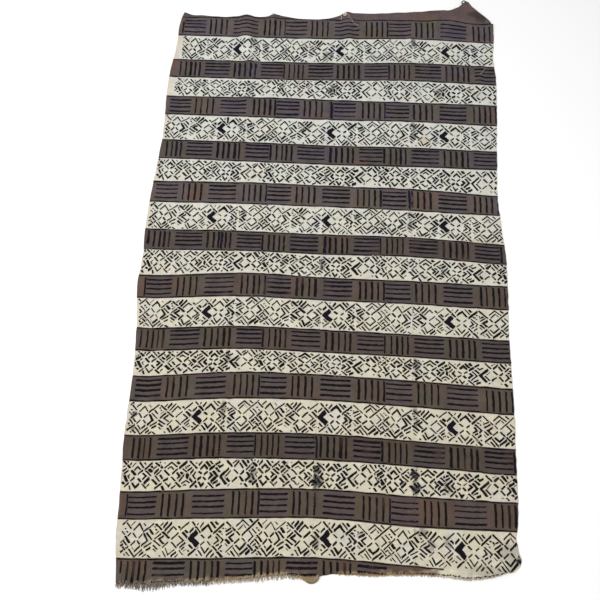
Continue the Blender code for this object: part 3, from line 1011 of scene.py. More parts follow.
# %% The narrow motif
NARROW_START, NARROW_LENGTH, NARROW_HEIGHT = 10, 340, 64
NARROW = {
    "plain": (
        (25.5, 37.5, 36, 48), (26.5, 4.5, 41.5, 17), (58.5, 6.5, 71, 20), (81, 2.5, 83.5, 7.5),
        (47.5, 23.5, 57, 31), (43.5, 48, 55, 39.5), (64.5, 34, 73.5, 26.5), (63.5, 38, 72.5, 47),
        (82, 30, 89.5, 38, 79.5, 47), (90.5, 2, 98, 8), (79.5, 22.5, 89.5, 14), (93.5, 28, 103.5, 21.5),
        (121, 19, 128.5, 12, 137, 19), (133.5, 3, 144.5, 14), (113, 21, 123.5, 30),
        (131.5, 28, 143, 21), (113.5, 43, 122, 36.5), (132.5, 38, 140.5, 45),
        (118, 47, 126, 56.5, 135.5, 49), (98.5, 55, 108.5, 47), (110.5, 53, 113.5, 60.5),
        (78, 53.5, 83.5, 59), (148.5, 18, 166, 5.5), (165.5, 11.5, 169, 15.5), (171, 18.5, 178.5, 13),
        (152, 22, 166, 32), (145.5, 27.5, 153.5, 33, 146, 39), (173.5, 27.5, 183.5, 19),
        (178, 33, 190, 44.5), (190.5, 32, 197, 39), (145, 49.5, 155.5, 58.5), (179.5, 59, 196, 49.5),
        (198, 55, 203.5, 63), (186, 12, 194.5, 18), (201, 16, 218, 4.5, 233.5, 15),
        (201, 22, 214.5, 32.5), (223, 30.5, 234.5, 22), (201, 44, 211.5, 39), (221, 37, 231, 45),
        (206, 48, 215.5, 55.5), (223.5, 60.5, 233, 55), (239.5, 18, 258, 5),
        (235.5, 28, 243.5, 35.5, 237, 40.5), (254.5, 34, 243.5, 45), (234.5, 48.5, 248, 58.5),
        (250.5, 20, 259.5, 26.5), (263, 15, 268.5, 13), (278.5, 23, 264, 35.5, 278, 48.5),
        (248.5, 50.5, 258.5, 44.5, 268, 50), (268.5, 5, 288, 20.5), (292, 13.5, 299.5, 6.5),
        (297.5, 21.5, 307, 13.5, 316, 22), (334, 15.5, 348.5, 7), (284.5, 28.5, 278.5, 35, 286, 42.5),
        (293.5, 28, 300.5, 32), (308.5, 32.5, 316, 28), (292, 44, 300, 40), (307, 39.5, 313, 44.5),
        (333, 26.5, 343.5, 37, 328.5, 49), (295.5, 49.5, 302.5, 59, 308.5, 53), (274.5, 59.5, 288, 47.5),
        (288, 56, 291, 59.5), (320.5, 50.5, 334.5, 61.5), (333, 52.5, 344.5, 47.5),
        (345.5, 14.5, 349.5, 18, 358.5, 14),
    ),
    "thick": (
        (33, 20.5, 12, 36.5, 27.5, 52.5), (47.5, 16.5, 58.5, 6.5), (68.5, 3, 79.5, 15), (98, 8, 107, 15),
        (86, 25, 98, 17.5), (91.5, 47, 95, 49.5), (159.5, 18.5, 167, 23.5), (149.5, 47.5, 161, 37.5),
        (171.5, 41, 183, 50.5), (176.5, 5.5, 186, 12), (234.5, 5.5, 239.5, 8.5), (244.5, 27, 254.5, 34),
        (259.5, 26.5, 273, 18), (258, 17, 263, 15), (312.5, 6.5, 321.5, 15.5), (323, 6, 328.5, 10.5),
        (322.5, 22.5, 334, 15.5), (324.5, 31.5, 330, 36, 321, 43), (338.5, 20.5, 348.5, 28),
        (342, 57.5, 351, 54), (88, 24.5, 90, 25.5),
    ),
    "thin": (
        (113.5, 12.5, 122, 4), (209.5, 19, 217, 14.5, 225.5, 20.5), (255, 55.5, 258.5, 53.5, 261, 55),
    ),
    "faint": (
        (25.5, 37.5, 38.5, 25), (43, 9, 53, 3.5), (89.5, 14, 93.5, 12),
        (109.5, 29, 104.5, 32.5, 108.5, 38),
        (108, 8, 111, 4.5), (101, 2, 102.5, 3.5), (67, 54, 69.5, 55.5), (34.5, 56.5, 38, 54.5),
        (146, 4.5, 149.5, 8), (178, 33, 192, 22), (157, 54, 163.5, 49.5), (186.5, 5, 188.5, 6.5),
        (199, 6.5, 201, 7.5), (215.5, 55.5, 221, 51), (284.5, 8, 286.5, 9), (314.5, 62, 318.5, 58),
    ),
    "heavy": ((93, 29.5, 102, 43.5), (264, 32, 263, 39.5)),
}
print("narrow motif:", sum(len(strokes) for strokes in NARROW.values()), "strokes")

# %% [markdown]
# ## Printing
#
# For each print the chart's stations are shifted and thinned a little, stroke by stroke, with
# seeded random numbers, and mapped onto the band. The ribbon's rims are then a step to each side.
# All strokes are kept in lists of arrays, and made into one mesh per strip at the end.

# %% Printing the charts onto the cloth
# Chart units between stations, where the hem's comb ends, and how far what lies on top is raised
PITCH = 3.4
LAST_COMB_END = 190 * MM
UPRIGHT_RISE, DRIP_RISE = 0.08 * MM, 0.16 * MM
laid = []


def lay_ribbons(x, y, side_x, side_y, mud, stroke, ink, raised=0.0):
    """Keep ribbons given by their middle line, sideways step, mud and colour, for the strips' meshes.

    Raised ones lie over the rest by that height, so that no bare rim of another hides their mud.
    """
    x = np.clip(np.stack((x - side_x, x, x + side_x), -1), left_edge(y)[:, None] + 0.5 * MM,
                right_edge(y)[:, None] - 0.5 * MM)
    y = np.stack((y - side_y, y, y + side_y), -1)
    y = np.clip(y, lower_end(x) + 0.8 * MM, upper_end(x) - 1.5 * MM)
    mud = np.stack((np.zeros_like(mud), mud, np.zeros_like(mud)), -1)
    raised = np.broadcast_to(raised, stroke.shape)
    laid.append({"x": x, "y": y, "mud": mud, "stroke": stroke, "ink": ink, "raised": raised})


INK = (0.0062, 0.0048, 0.0052)
INK_NAVY = (0.0075, 0.0070, 0.0185)
INK_FADED = (0.060, 0.036, 0.030)


def ink_colour(x, y, dryness):
    """Colour of the mud: near black, bluish in drifts higher up, and reddish where a print was dry."""
    bluish = np.clip(wander(x, y, 0.12, 40) * 0.9, 0, 1) * (0.15 + 0.85 * ramp(y, -0.3, 0.5))
    colour = blend(INK, INK_NAVY, bluish)
    return blend(colour, INK_FADED, np.clip(dryness + 0.5 * wander(x, y, 0.05, 41) - 0.45, 0, 1))


def print_chart(chart, start, length, height, weight, number, begin, finish, margin, seed):
    """One print: chart stations shifted by stroke, then mapped between its start and the next one.

    The place across runs evenly from begin to finish. The place along runs from the band's
    upper line down to its lower line, plus the print's own slip. The weight widens every stroke.
    Nothing is printed within the margin of the left selvedge, and a stroke that is cut off there
    is left out when fewer than four of its stations remain.
    """
    rng = np.random.default_rng(seed)
    stations = chart_stations(chart, PITCH)
    stroke = stations[:, 5].astype(int)
    count = stroke.max() + 1
    shift = rng.normal(0, 0.45, (count, 2))[stroke]
    girth = np.clip(rng.normal(1, 0.14, count), 0.7, 1.4)[stroke] * rng.uniform(0.94, 1.08) * weight
    load = np.clip(rng.normal(1, 0.10, count), 0.65, 1.2)[stroke] * rng.uniform(0.92, 1.05)
    slip = rng.normal(0, 1.0) * MM
    tilt = rng.normal(0, 1.2) * MM
    stretch = (finish - begin) * MM / length
    x = begin * MM + (stations[:, 0] + shift[:, 0] - start) * stretch
    inside = np.clip(x, -WIDTH / 2, WIDTH / 2)
    lower, upper = band_span(number, inside)
    share = (stations[:, 1] + shift[:, 1]) / height
    y = upper + share * (lower - upper) + slip + tilt * ((stations[:, 0] - start) / length - 0.5)
    x = x + 0.30 * MM * wander(x, y, 0.014, 42)
    y = y + 0.30 * MM * wander(x, y, 0.015, 43)
    rough = girth * (1 + 0.10 * wander(x, y, 0.014, 44))
    side_x = stations[:, 2] * rough * MM
    side_y = -stations[:, 3] * rough * MM
    mud = stations[:, 4] * load * (1 + 0.10 * wander(x, y, 0.02, 45) + 0.10 * wander(x, y, 0.09, 46))
    kept = (x > left_edge(y)) & (x < right_edge(y)) & (y > lower_end(x)) & (y < upper_end(x) - 2 * MM)
    kept &= x > np.maximum(left_edge(y) + margin * MM, BARE_LEFT.get(number, -600) * MM)
    kept &= (number >= 0) | (x < LAST_COMB_END)
    kept &= np.bincount(stroke, kept, count)[stroke] > 3
    upright = ("line" in chart) & (stroke < count - len(chart.get("line", ())))
    stroke = np.where(kept, stroke, -1)
    dryness = np.full(len(x), rng.uniform(0.0, 0.35))
    lay_ribbons(x, y, side_x, side_y, mud, stroke, ink_colour(x, y, dryness), upright * UPRIGHT_RISE)


# Each band's prints: lower line, chart, first place, length, height, weight, left margin, starts
prints = [(number, WIDE, 0, WIDE_LENGTH, WIDE_HEIGHT, 1.0, 5, starts)
          for number, starts in WIDE_STARTS.items()]
prints += [(number, NARROW, NARROW_START, NARROW_LENGTH, NARROW_HEIGHT, 1.12, 2, starts)
           for number, starts in NARROW_STARTS.items()]
prints += [(number, chart, 0, COMB_LENGTH, COMB_HEIGHT, 1.0, 11, starts)
           for number, (chart, starts) in COMB_STARTS.items()]
for number, chart, start, length, height, weight, margin, starts in prints:
    for turn, (begin, finish) in enumerate(zip(starts, starts[1:])):
        seed = 100 * (number + 2) + turn
        print_chart(chart, start, length, height, weight, number, begin, finish, margin, seed)
print(len(laid), "prints laid,", sum(len(part["stroke"]) for part in laid), "stations")

# %% [markdown]
# ## Borders
#
# A dark line runs along both edges of every brown band. It was drawn with each print, so it steps
# and thins where one print meets the next. Each border is one long ribbon, 2.3 mm into the brown.

# %% Border lines
BORDER_INSET, BORDER_HALF = 2.3 * MM, 3.1 * MM


def lay_border(number):
    """One border: a ribbon along its line, with a small slip and a break at each print's start."""
    rng = np.random.default_rng(900 + number)
    x = np.arange(-WIDTH / 2, WIDTH / 2, 3.6 * MM)
    inset = 0 if number == HEM_LINE else BORDER_INSET
    y = line_height(number, x) + (inset if number % 2 else -inset)
    joints = np.array(COMB_STARTS[number if number % 2 else number - 1][1]) * MM
    turn = np.searchsorted(joints, x)
    y = y + rng.normal(0, 0.7, 6)[turn] * MM + 0.5 * MM * wander(x, y, 0.05, 47)
    near = np.min(np.abs(x[:, None] - joints[None]), axis=1)
    mud = (0.98 + 0.10 * wander(x, y, 0.06, 48)) * (0.80 + 0.2 * ramp(near, 0, 5 * MM))
    half = BORDER_HALF * (1 + 0.18 * wander(x, y, 0.02, 49)) * rng.uniform(0.9, 1.1, 6)[turn]
    slope = np.gradient(y, x)
    kept = (x > left_edge(y)) & (x < right_edge(y)) & (y > lower_end(x) + 1 * MM)
    kept &= (x < WORN_TO) | (number > 0)
    stroke = np.where(kept, 0, -1)
    dryness = np.clip(0.3 + 0.4 * wander(x, y, 0.08, 50), 0, 0.5)
    lay_ribbons(x, y, -half * slope, half, mud, stroke, ink_colour(x, y, dryness))


for number in range(len(LINE_ROWS)):
    lay_border(number)
print(len(LINE_ROWS), "borders laid")

# %% [markdown]
# ## Dabs on the raw end
#
# Towards the right the raw end was caught down with dark thread and daubed with mud, which dried
# as a row of uneven dabs close to the edge. Each dab is a short ribbon along the edge.

# %% Dabs along the raw end
def lay_dab(place, length, away, width, seed):
    """One dab: four stations along the edge from its place, a little further in than the frays."""
    x = (place + np.linspace(0, length, 4)) * MM
    y = lower_end(x) + away * MM
    half = RIM * width * MM * (1 + 0.25 * wander(x, y, 0.008, seed))
    held = np.array((0, 1.0, 0.95, 0))
    brown_ink = blend(INK, INK_FADED, np.full(4, 0.35))
    lay_ribbons(x, y, np.zeros(4), half, held, np.zeros(4, int), brown_ink)


DABS_FROM, DABS_TO = 190, 468
rng = np.random.default_rng(390)
dab_places = DABS_FROM + np.cumsum(rng.uniform(5, 11, 34))
dab_places = dab_places[dab_places < DABS_TO]
for row, place in enumerate(dab_places):
    lay_dab(place, rng.uniform(5, 10), rng.uniform(2.6, 5.5), rng.uniform(2.2, 4.2), 400 + row)
print(len(dab_places), "dabs laid")

# %% [markdown]
# ## Drips in the brown bands
#
# Where prints meet, mud pooled under the stencil's edge and left upright bars, the darkest marks
# of the brown bands. Each is a ribbon of its own, wider than a comb's stroke.

# %% Drips
# Columns: x, lower line of the band, share of its height from the top: start, end; width, mud
DRIPS = (
    (-308, 16, 0.02, 0.30, 7, 0.95), (-295, 11, 0.05, 0.95, 8, 1.00), (5, 11, 0.05, 0.95, 9, 1.05),
    (-285, 19, 0.10, 0.90, 8, 0.90), (-268, 19, 0.10, 0.90, 7, 0.90), (-250, 19, 0.10, 0.90, 8, 0.95),
    (-235, 19, 0.10, 0.85, 7, 0.85), (12, 15, 0.05, 0.90, 9, 0.95), (250, 13, 0.05, 0.95, 10, 0.80),
    (10, 17, 0.05, 0.95, 9, 0.95), (265, 17, 0.08, 0.92, 8, 0.90), (2, 3, 0.05, 0.97, 6, 0.95),
)


def lay_drip(place, number, top, bottom, width, mud, seed):
    """One drip: an upright ribbon down part of a band, wavering in its line, width and mud."""
    along = np.linspace(0, 1, 14)
    x = place * MM + 1.0 * MM * wander(0, along * 0.06, 0.03, seed)
    lower, upper = band_span(number, x)
    y = upper + (top + (bottom - top) * along) * (lower - upper)
    half = 0.72 * width * MM * (1 + 0.2 * wander(0, along * 0.06, 0.02, seed + 1))
    held = mud * (1 + 0.1 * wander(0, along * 0.06, 0.03, seed + 2))
    held = held * np.where((along == 0) | (along == 1), 0, 1)
    navy = blend(INK, INK_NAVY, np.full(len(x), 0.9))
    lay_ribbons(x, y, half, np.zeros_like(half), held, np.zeros(len(x), int), navy, DRIP_RISE)


for row, (place, number, top, bottom, width, mud) in enumerate(DRIPS):
    lay_drip(place, number, top, bottom, width, mud, 300 + 3 * row)
print(len(DRIPS), "drips laid")

# %% [markdown]
# ## Solid chevrons
#
# One mark of the wide motif is a solid chevron, where the mud lay thickest. A ribbon that wide
# would fold over itself at the corner, so this mark is a small patch of points, and each point's
# mud follows from how deep it lies inside two crossed bars.

# %% Solid chevrons
CHEVRON = ((270, 28), (255, 43), (274, 59))
CHEVRON_HALF = 6.0
# The patch's span across and down the chart, and the step between its points
CHEVRON_SPAN, CHEVRON_RISE, PATCH = (243, 282), (21, 67), 1.5
patches = []


def inside_chevron(s, t):
    """Depth inside the chevron, negative outside: the deeper of two bars that end square.

    Each bar runs from an arm's end to half a width past the apex, so that the tip is sharp.
    """
    depth = np.full(s.shape, -99.0)
    apex = np.array(CHEVRON[1])
    for end in (CHEVRON[0], CHEVRON[2]):
        arm = apex - np.array(end)
        long = np.hypot(*arm)
        along = ((s - end[0]) * arm[0] + (t - end[1]) * arm[1]) / long
        aside = ((s - end[0]) * arm[1] - (t - end[1]) * arm[0]) / long
        bar = np.minimum(CHEVRON_HALF - np.abs(aside), np.minimum(along, long + CHEVRON_HALF - along))
        depth = np.maximum(depth, bar)
    return depth


def lay_chevron(number, begin, finish, seed):
    """One chevron: a patch on the band, its mud 1.3 times (depth + 1) / 2.2, kept from 0 to 1.3."""
    rng = np.random.default_rng(seed)
    s, t = np.meshgrid(np.arange(*CHEVRON_SPAN, PATCH), np.arange(*CHEVRON_RISE, PATCH))
    stretch = (finish - begin) * MM / WIDE_LENGTH
    x = begin * MM + (s + rng.normal(0, 0.5)) * stretch
    lower, upper = band_span(number, np.clip(x, -WIDTH / 2, WIDTH / 2))
    y = upper + (t + rng.normal(0, 0.5)) / WIDE_HEIGHT * (lower - upper)
    depth = inside_chevron(s, t) + 0.7 * wander(x, y, 0.012, seed)
    mud = 1.3 * np.clip((depth + 1) / 2.2, 0, 1) * (1 - 0.12 * np.clip(wander(x, y, 0.02, 51), 0, 1))
    navy = blend(INK, INK_NAVY, np.full(x.shape, 0.4))
    if np.all((x > left_edge(y)) & (x < right_edge(y))):
        patches.append((x[::-1], y[::-1], mud[::-1], navy[::-1]))


for number, starts in WIDE_STARTS.items():
    for turn, (begin, finish) in enumerate(zip(starts, starts[1:])):
        lay_chevron(number, begin, finish, 500 + 10 * number + turn)
print(len(patches), "solid chevrons")

# %% [markdown]
# ## Mud, as a material
#
# The mud at a point, broken by grain and by the crowns of the threads, decides how dark the yarn
# is. Where there is none the ribbon shows the dyed cloth, through the same group as the strips, so
# its rim is lost in the weave and no see-through material is needed.

# %% Mud material
def build_mud_mask():
    """Share of yarn the mud hides: the mud at a point plus grain and threads, cut off sharply."""
    tree, given, result = new_group(
        "mud_mask", (("Place", "Vector"), ("Mud", "Float")), (("Share", "Float"), ("Depth", "Float")))
    place, mud = given.outputs["Place"], given.outputs["Mud"]
    weave = place_node(tree, "Group", {"Place": place}, node_tree=WEAVE)
    coarse = noise(tree, place, 240.0, 3.0, 0.6, centred=True)
    fine = noise(tree, place, 1100.0, 2.0, 0.6, centred=True)
    patchy = noise(tree, place, 60.0, centred=True)
    threads = maths(tree, "SUBTRACT", weave.outputs["Threads"], 0.5)
    total = summed(tree, mud, (coarse, 0.34), (fine, 0.30), (patchy, 0.25), (threads, 0.16))
    share = place_node(tree, "MapRange", {0: total, 1: 0.22, 2: 0.42, 3: 0.0, 4: 1.0},
                       interpolation_type="SMOOTHSTEP")
    painted = maths(tree, "GREATER_THAN", mud, 0.02)
    tree.links.new(maths(tree, "MULTIPLY", share.outputs[0], painted), result.inputs["Share"])
    tree.links.new(summed(tree, 0.85, (coarse, 1.2)), result.inputs["Depth"])
    return tree


def mud_material():
    """Painted cloth: dyed cotton where the mask is 0 and mud where it is 1."""
    material, tree, shader = new_material("painted_mud")
    cloth = dyed_cloth(tree).outputs
    mask = place_node(tree, "Group", {"Place": object_place(tree), "Mud": stored(tree, "mud", "Fac")},
                      node_tree=MUD_MASK)
    share = mask.outputs["Share"]
    painted = scaled(tree, stored(tree, "ink"), mask.outputs["Depth"])
    colour = place_node(tree, "Mix", {0: share, 6: cloth["Colour"], 7: painted}, data_type="RGBA")
    height = summed(tree, cloth["Height"], (share, -0.25))
    shade_with(tree, shader, colour.outputs[2], cloth["Roughness"], height)
    return material


MUD_MASK = build_mud_mask()
MUD = mud_material()
print("material", MUD.name)

# %% One mesh of mud per strip
# How far ribbons and chevrons lie off the cloth, and one layer of strokes off the next
MUD_LIFT, PATCH_LIFT, LAYER = 0.16 * MM, 0.30 * MM, 0.012 * MM


def clear_of_cloth(x, y, joined):
    """Heights of ribbon points: the cloth's, plus what it stands above the ribbon between them.

    Halfway places are taken both across a ribbon and along it, from each station to the next.
    """
    z = on_cloth(x, y)
    excess = []
    for first, second in ((np.s_[:, 1:], np.s_[:, :-1]), (np.s_[1:], np.s_[:-1])):
        halfway = on_cloth((x[first] + x[second]) / 2, (y[first] + y[second]) / 2)
        excess.append(np.clip((halfway - (z[first] + z[second]) / 2).max(axis=1), 0, 1 * MM))
    rise, step = excess[0], excess[1] * joined
    rise[1:] = np.maximum(rise[1:], step)
    rise[:-1] = np.maximum(rise[:-1], step)
    print("ribbons raised by up to", millimetres(rise.max()), "mm")
    return z + rise[:, None]


def build_mud_meshes():
    """Join ribbons and patches, give each face to the strip it lies on, and lift it off the cloth.

    Neighbouring strokes lie at slightly different heights, so that two never share a plane.
    """
    x, y, mud, ink, raised = (
        np.concatenate([part[key] for part in laid]) for key in ("x", "y", "mud", "ink", "raised"))
    ink = np.repeat(ink[:, None], 3, axis=1)
    numbers = [np.where(part["stroke"] < 0, -1, part["stroke"] + 1000 * row)
               for row, part in enumerate(laid)]
    stroke = np.concatenate(numbers)
    layer = (stroke % 7) * LAYER + raised
    joined = (stroke[1:] == stroke[:-1]) & (stroke[1:] >= 0)
    z = clear_of_cloth(x, y, joined) + MUD_LIFT + layer[:, None]
    joined = np.flatnonzero(joined)
    quads = [np.stack((3 * joined + side, 3 * joined + 3 + side, 3 * joined + 4 + side,
                       3 * joined + 1 + side), -1) for side in (0, 1)]
    points = [np.stack((x, y, z), -1).reshape(-1, 3)]
    muds, inks = [mud.ravel()], [ink.reshape(-1, 3)]
    for patch_x, patch_y, patch_mud, patch_ink in patches:
        bare = patch_mud.ravel() <= 0
        cells = grid_quads(*patch_x.shape)
        cells = cells[~bare[cells].all(axis=1)]
        quads.append(cells + sum(len(part) for part in points))
        patch_z = on_cloth(patch_x, patch_y) + PATCH_LIFT
        points.append(np.stack((patch_x, patch_y, patch_z), -1).reshape(-1, 3))
        muds.append(patch_mud.ravel())
        inks.append(patch_ink.reshape(-1, 3))
    quads, points = np.concatenate(quads), np.concatenate(points)
    mud, ink = np.concatenate(muds), np.concatenate(inks)
    corner = points[quads]
    up = np.cross(corner[:, 2] - corner[:, 0], corner[:, 3] - corner[:, 1])[:, 2]
    quads = np.where(up[:, None] < 0, quads[:, ::-1], quads)
    middle = corner.mean(axis=1)
    home = strip_at(middle[:, 0], middle[:, 1])
    for number in (1, 2, 3, 4):
        used, faces = np.unique(quads[home == number], return_inverse=True)
        make_piece(f"mud_{number}", points[used], faces.reshape(-1, 4), MUD,
                   dye(points[used, 0], points[used, 1]), {"mud": mud[used]}, {"ink": ink[used]})


build_mud_meshes()

# %% [markdown]
# ## Yarn
#
# Sewing thread, loose warp ends and a knot are all yarn: a round section carried along a path.
# Curves with a bevel would do it too, but arrays of tubes keep hundreds of yarns in one mesh, and
# each yarn keeps its own colour. The section has only a few sides, as the yarn is 1 mm thick.

# %% Yarn builder and material
def yarn_material():
    """Loose cotton: the stored dye, darker and lighter along the fibres, with a fibrous bump."""
    material, tree, shader = new_material("loose_yarn")
    place = object_place(tree)
    fibres, tufts = noise(tree, place, 900.0, 3.0, 0.6), noise(tree, place, 160.0)
    shade = summed(tree, 0.5, (tufts, 0.4), (fibres, 0.5))
    roughness = summed(tree, 0.82, (tufts, 0.15))
    shade_with(tree, shader, scaled(tree, stored(tree, "dye"), shade), roughness, fibres, 0.6, 0.3)
    return material


YARN = yarn_material()


def make_yarns(name, paths, radii, colours, sides=5):
    """Tubes along paths, in one mesh: yarns by stations by x, y, z, with radii and a colour each.

    A ring's points are path + r (cos a side + sin a up), where side is level and square to the
    path, and up is square to both. Both ends are closed by a face.
    """
    count, stations = paths.shape[:2]
    ahead = np.gradient(paths, axis=1)
    ahead = ahead / np.linalg.norm(ahead, axis=-1, keepdims=True)
    side = np.cross(ahead, (0, 0, 1.0))
    side = side / np.maximum(np.linalg.norm(side, axis=-1, keepdims=True), 1e-6)
    up = np.cross(side, ahead)
    angle = np.arange(sides) * 2 * np.pi / sides
    ring = (np.cos(angle)[:, None] * side[:, :, None] + np.sin(angle)[:, None] * up[:, :, None])
    points = paths[:, :, None] + np.broadcast_to(radii, (count, stations))[..., None, None] * ring
    first = (np.arange(count) * stations * sides)[:, None, None]
    row = (np.arange(stations - 1) * sides)[:, None]
    turn, following = np.arange(sides), (np.arange(sides) + 1) % sides
    corner, beside = first + row + turn, first + row + following
    quads = np.stack((corner, corner + sides, beside + sides, beside), -1).reshape(-1, 4)
    start_caps = (first[:, 0] + turn).tolist()
    end_caps = (first[:, 0] + (stations - 1) * sides + turn[::-1]).tolist()
    shades = np.repeat(colours, stations * sides, axis=0)
    return make_piece(name, points, quads.tolist() + start_caps + end_caps, YARN, shades)


def yarn_colours(base, other, count, rng):
    """A colour for each yarn, on the way from base to other, and lighter or darker by a tenth."""
    shade = blend(base, other, rng.uniform(0, 1, count))
    return shade * rng.normal(1, 0.10, (count, 1))


# %% [markdown]
# ## Frayed end
#
# Where the cloth was cut from the loom nobody hemmed it, and the warp yarns hang out: long and
# grey at the left corner, short and tan towards the middle, and a golden fringe of stubs on the
# right. Each yarn starts inside the sheet's edge, droops to the floor and wanders on it, and
# every third one is bent far to the side, as loose yarns tangle.

# %% Frayed warp
GREY_YARN, TAN_YARN, GOLD_YARN = (0.24, 0.20, 0.165), (0.36, 0.27, 0.17), (0.42, 0.27, 0.11)
BROWN_YARN, PALE_YARN, CURL_YARN = (0.085, 0.065, 0.055), (0.66, 0.60, 0.48), (0.105, 0.068, 0.070)
STRAW_YARN = (0.50, 0.40, 0.28)
# Columns: place across the cloth, length of the loose yarn (mm)
FRAY_LENGTHS = (
    (-496, 12), (-452, 13), (-418, 18), (-388, 18), (-350, 12), (-300, 11), (-250, 10), (-180, 10),
    (-120, 12), (-60, 10), (-30, 5), (60, 2.5), (120, 3.5), (340, 4), (460, 2),
)


def fray(name, start, end, pitch, colours, seed):
    """Loose warp yarns from start to end: each runs out by its length and sways as it goes."""
    rng = np.random.default_rng(seed)
    count = int((end - start) / pitch)
    root_x = (np.linspace(start, end, count) + rng.normal(0, 0.5 * pitch, count)) * MM
    root_x = np.clip(root_x, start * MM, end * MM)
    length = curve_through(FRAY_LENGTHS, root_x) * rng.uniform(0.45, 1.12, count)
    tangled = rng.uniform(0, 1, count) < 0.35
    bend = np.where(tangled, rng.normal(0, 0.9, count), rng.normal(0, 0.25, count))
    along = np.linspace(0, 1, 7)
    out = 1.6 * MM - along * (length[:, None] + 1.6 * MM) * np.cos(np.clip(bend, -1.1, 1.1))[:, None]
    aside = length[:, None] * (np.sin(bend)[:, None] * along ** 2)
    curl = 0.6 * MM * np.sin(along * rng.uniform(4, 9, (count, 1)) + rng.uniform(0, 6, (count, 1)))
    x = root_x[:, None] + aside + curl * along
    y = lower_end(root_x)[:, None] + out
    droop = ramp(along, 0.0, 0.45)
    level = lift(x, y)
    z = level + (0.75 * MM) * (1 - droop) + droop * rng.uniform(0.7, 1.9, (count, 1)) * MM
    radii = rng.uniform(0.40, 0.66, (count, 1)) * MM * (1 - 0.5 * along ** 3)
    shades = yarn_colours(*colours, count, rng)
    return make_yarns(name, np.stack((x, y, z), -1), radii, shades)


fray_left = fray("loose_yarns_left", -484, -257, 0.75, (BROWN_YARN, GREY_YARN), 51)
fray_middle = fray("loose_yarns_middle", -257, -32, 0.85, (GREY_YARN, STRAW_YARN), 52)
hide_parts("fray_1")
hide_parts("fray_2")
fray("golden_stubs", 70, 470, 1.4, (TAN_YARN, GOLD_YARN), 53)


def worn_yarns(name, start, end, pitch, colours, seed):
    """Broken yarns on the last millimetres of the weave, which lie on it and run off its end."""
    rng = np.random.default_rng(seed)
    count = int((end - start) / pitch)
    root_x = (np.linspace(start, end, count) + rng.normal(0, pitch, count)).clip(start, end) * MM
    inside = rng.uniform(1.5, 9.0, (count, 1)) * MM
    reach = rng.uniform(3.0, 8.0, (count, 1)) * MM
    along = np.linspace(0, 1, 7)
    x = root_x[:, None] + reach * rng.normal(0, 0.45, (count, 1)) * along ** 1.5
    y = lower_end(x) + inside - reach * along
    off = ramp(lower_end(x) - y, 0, 2.5 * MM)
    z = (on_cloth(x, y) + 0.25 * MM) * (1 - off) + (lift(x, y) + 0.9 * MM) * off
    z = z + 0.5 * MM * np.sin(np.pi * along) * rng.uniform(0.2, 1, (count, 1))
    radii = rng.uniform(0.28, 0.50, (count, 1)) * MM * (1 - 0.4 * (2 * along - 1) ** 4)
    shades = yarn_colours(*colours, count, rng)
    return make_yarns(name, np.stack((x, y, z), -1), radii, shades)


worn_yarns("worn_yarns_left", -476, -250, 1.3, (BROWN_YARN, STRAW_YARN), 54)
worn_yarns("worn_yarns_middle", -250, 20, 1.2, (TAN_YARN, STRAW_YARN), 55)
worn_yarns("worn_yarns_right", 60, 320, 1.5, (TAN_YARN, GOLD_YARN), 56)

# %% [markdown]
# ## Sewing
#
# The strips are joined by hand with pale thread, in slanting stitches about 9 mm apart, and the
# hem is held by short running stitches. A stitch is a small arch of thread that dives into the
# cloth at both ends, so its ends are set just below the face.

# %% Stitches
def make_stitches(name, x, y, run_x, run_y, height, radius, colours):
    """Stitches centred at x, y: an arch of five stations from one end of its run to the other."""
    share = np.array((-0.5, -0.3, 0.0, 0.3, 0.5))
    arch = np.array((-0.45, 0.55, 1.0, 0.55, -0.45))
    along_x = x[:, None] + run_x[:, None] * share
    along_y = y[:, None] + run_y[:, None] * share
    z = on_cloth(along_x, along_y) + arch * height
    return make_yarns(name, np.stack((along_x, along_y, z), -1), radius, colours)


def seam_stitches(number, seed):
    """Stitches of one seam: every 9 mm, slanting across it, some missing where thread wore away."""
    rng = np.random.default_rng(seed)
    y = np.arange(-0.835, 0.860, 0.0092)
    y = y + rng.normal(0, 1.0, len(y)) * MM
    y = y[rng.uniform(0, 1, len(y)) < 0.86]
    x = seam(number)(y) + rng.normal(0, 0.3, len(y)) * MM
    y = y[(y > lower_end(x) + 4 * MM) & (y < upper_end(x) - 4 * MM)]
    x = seam(number)(y)
    run_x = rng.uniform(2.0, 3.4, len(y)) * MM
    run_y = rng.uniform(1.2, 3.0, len(y)) * MM
    colours = yarn_colours(PALE_YARN, TAN_YARN, len(y), rng)
    # Painted light: the thread is darker towards the bottom of the cloth, as the cloth's colours are; on
    # the brown bands it is darker as it took the dye.
    colours = colours * ((0.7 + 0.3 * ramp(y, -0.3, 0.3)) * (1 - 0.5 * brown_share(x, y)))[:, None]
    return make_stitches(f"seam_thread_{number}", x, y, run_x, run_y, 0.65 * MM, 0.42 * MM, colours)


for number in (1, 2, 3):
    seam_stitches(number, 60 + number)


def hem_stitches(seed):
    """Running stitches beside the hem's inner edge, brown on the brown cloth."""
    rng = np.random.default_rng(seed)
    x = np.arange(-0.490, 0.505, 0.0105) + rng.normal(0, 0.8, 95) * MM
    y = upper_end(x) - hem_depth(x) + 3.2 * MM
    slope = np.gradient(y, x)
    run_x = rng.uniform(3.0, 4.6, len(x)) * MM
    colours = yarn_colours(BARK_RUST, BROWN_YARN, len(x), rng)
    return make_stitches("hem_thread", x, y, run_x, run_x * slope, 0.5 * MM, 0.34 * MM, colours)


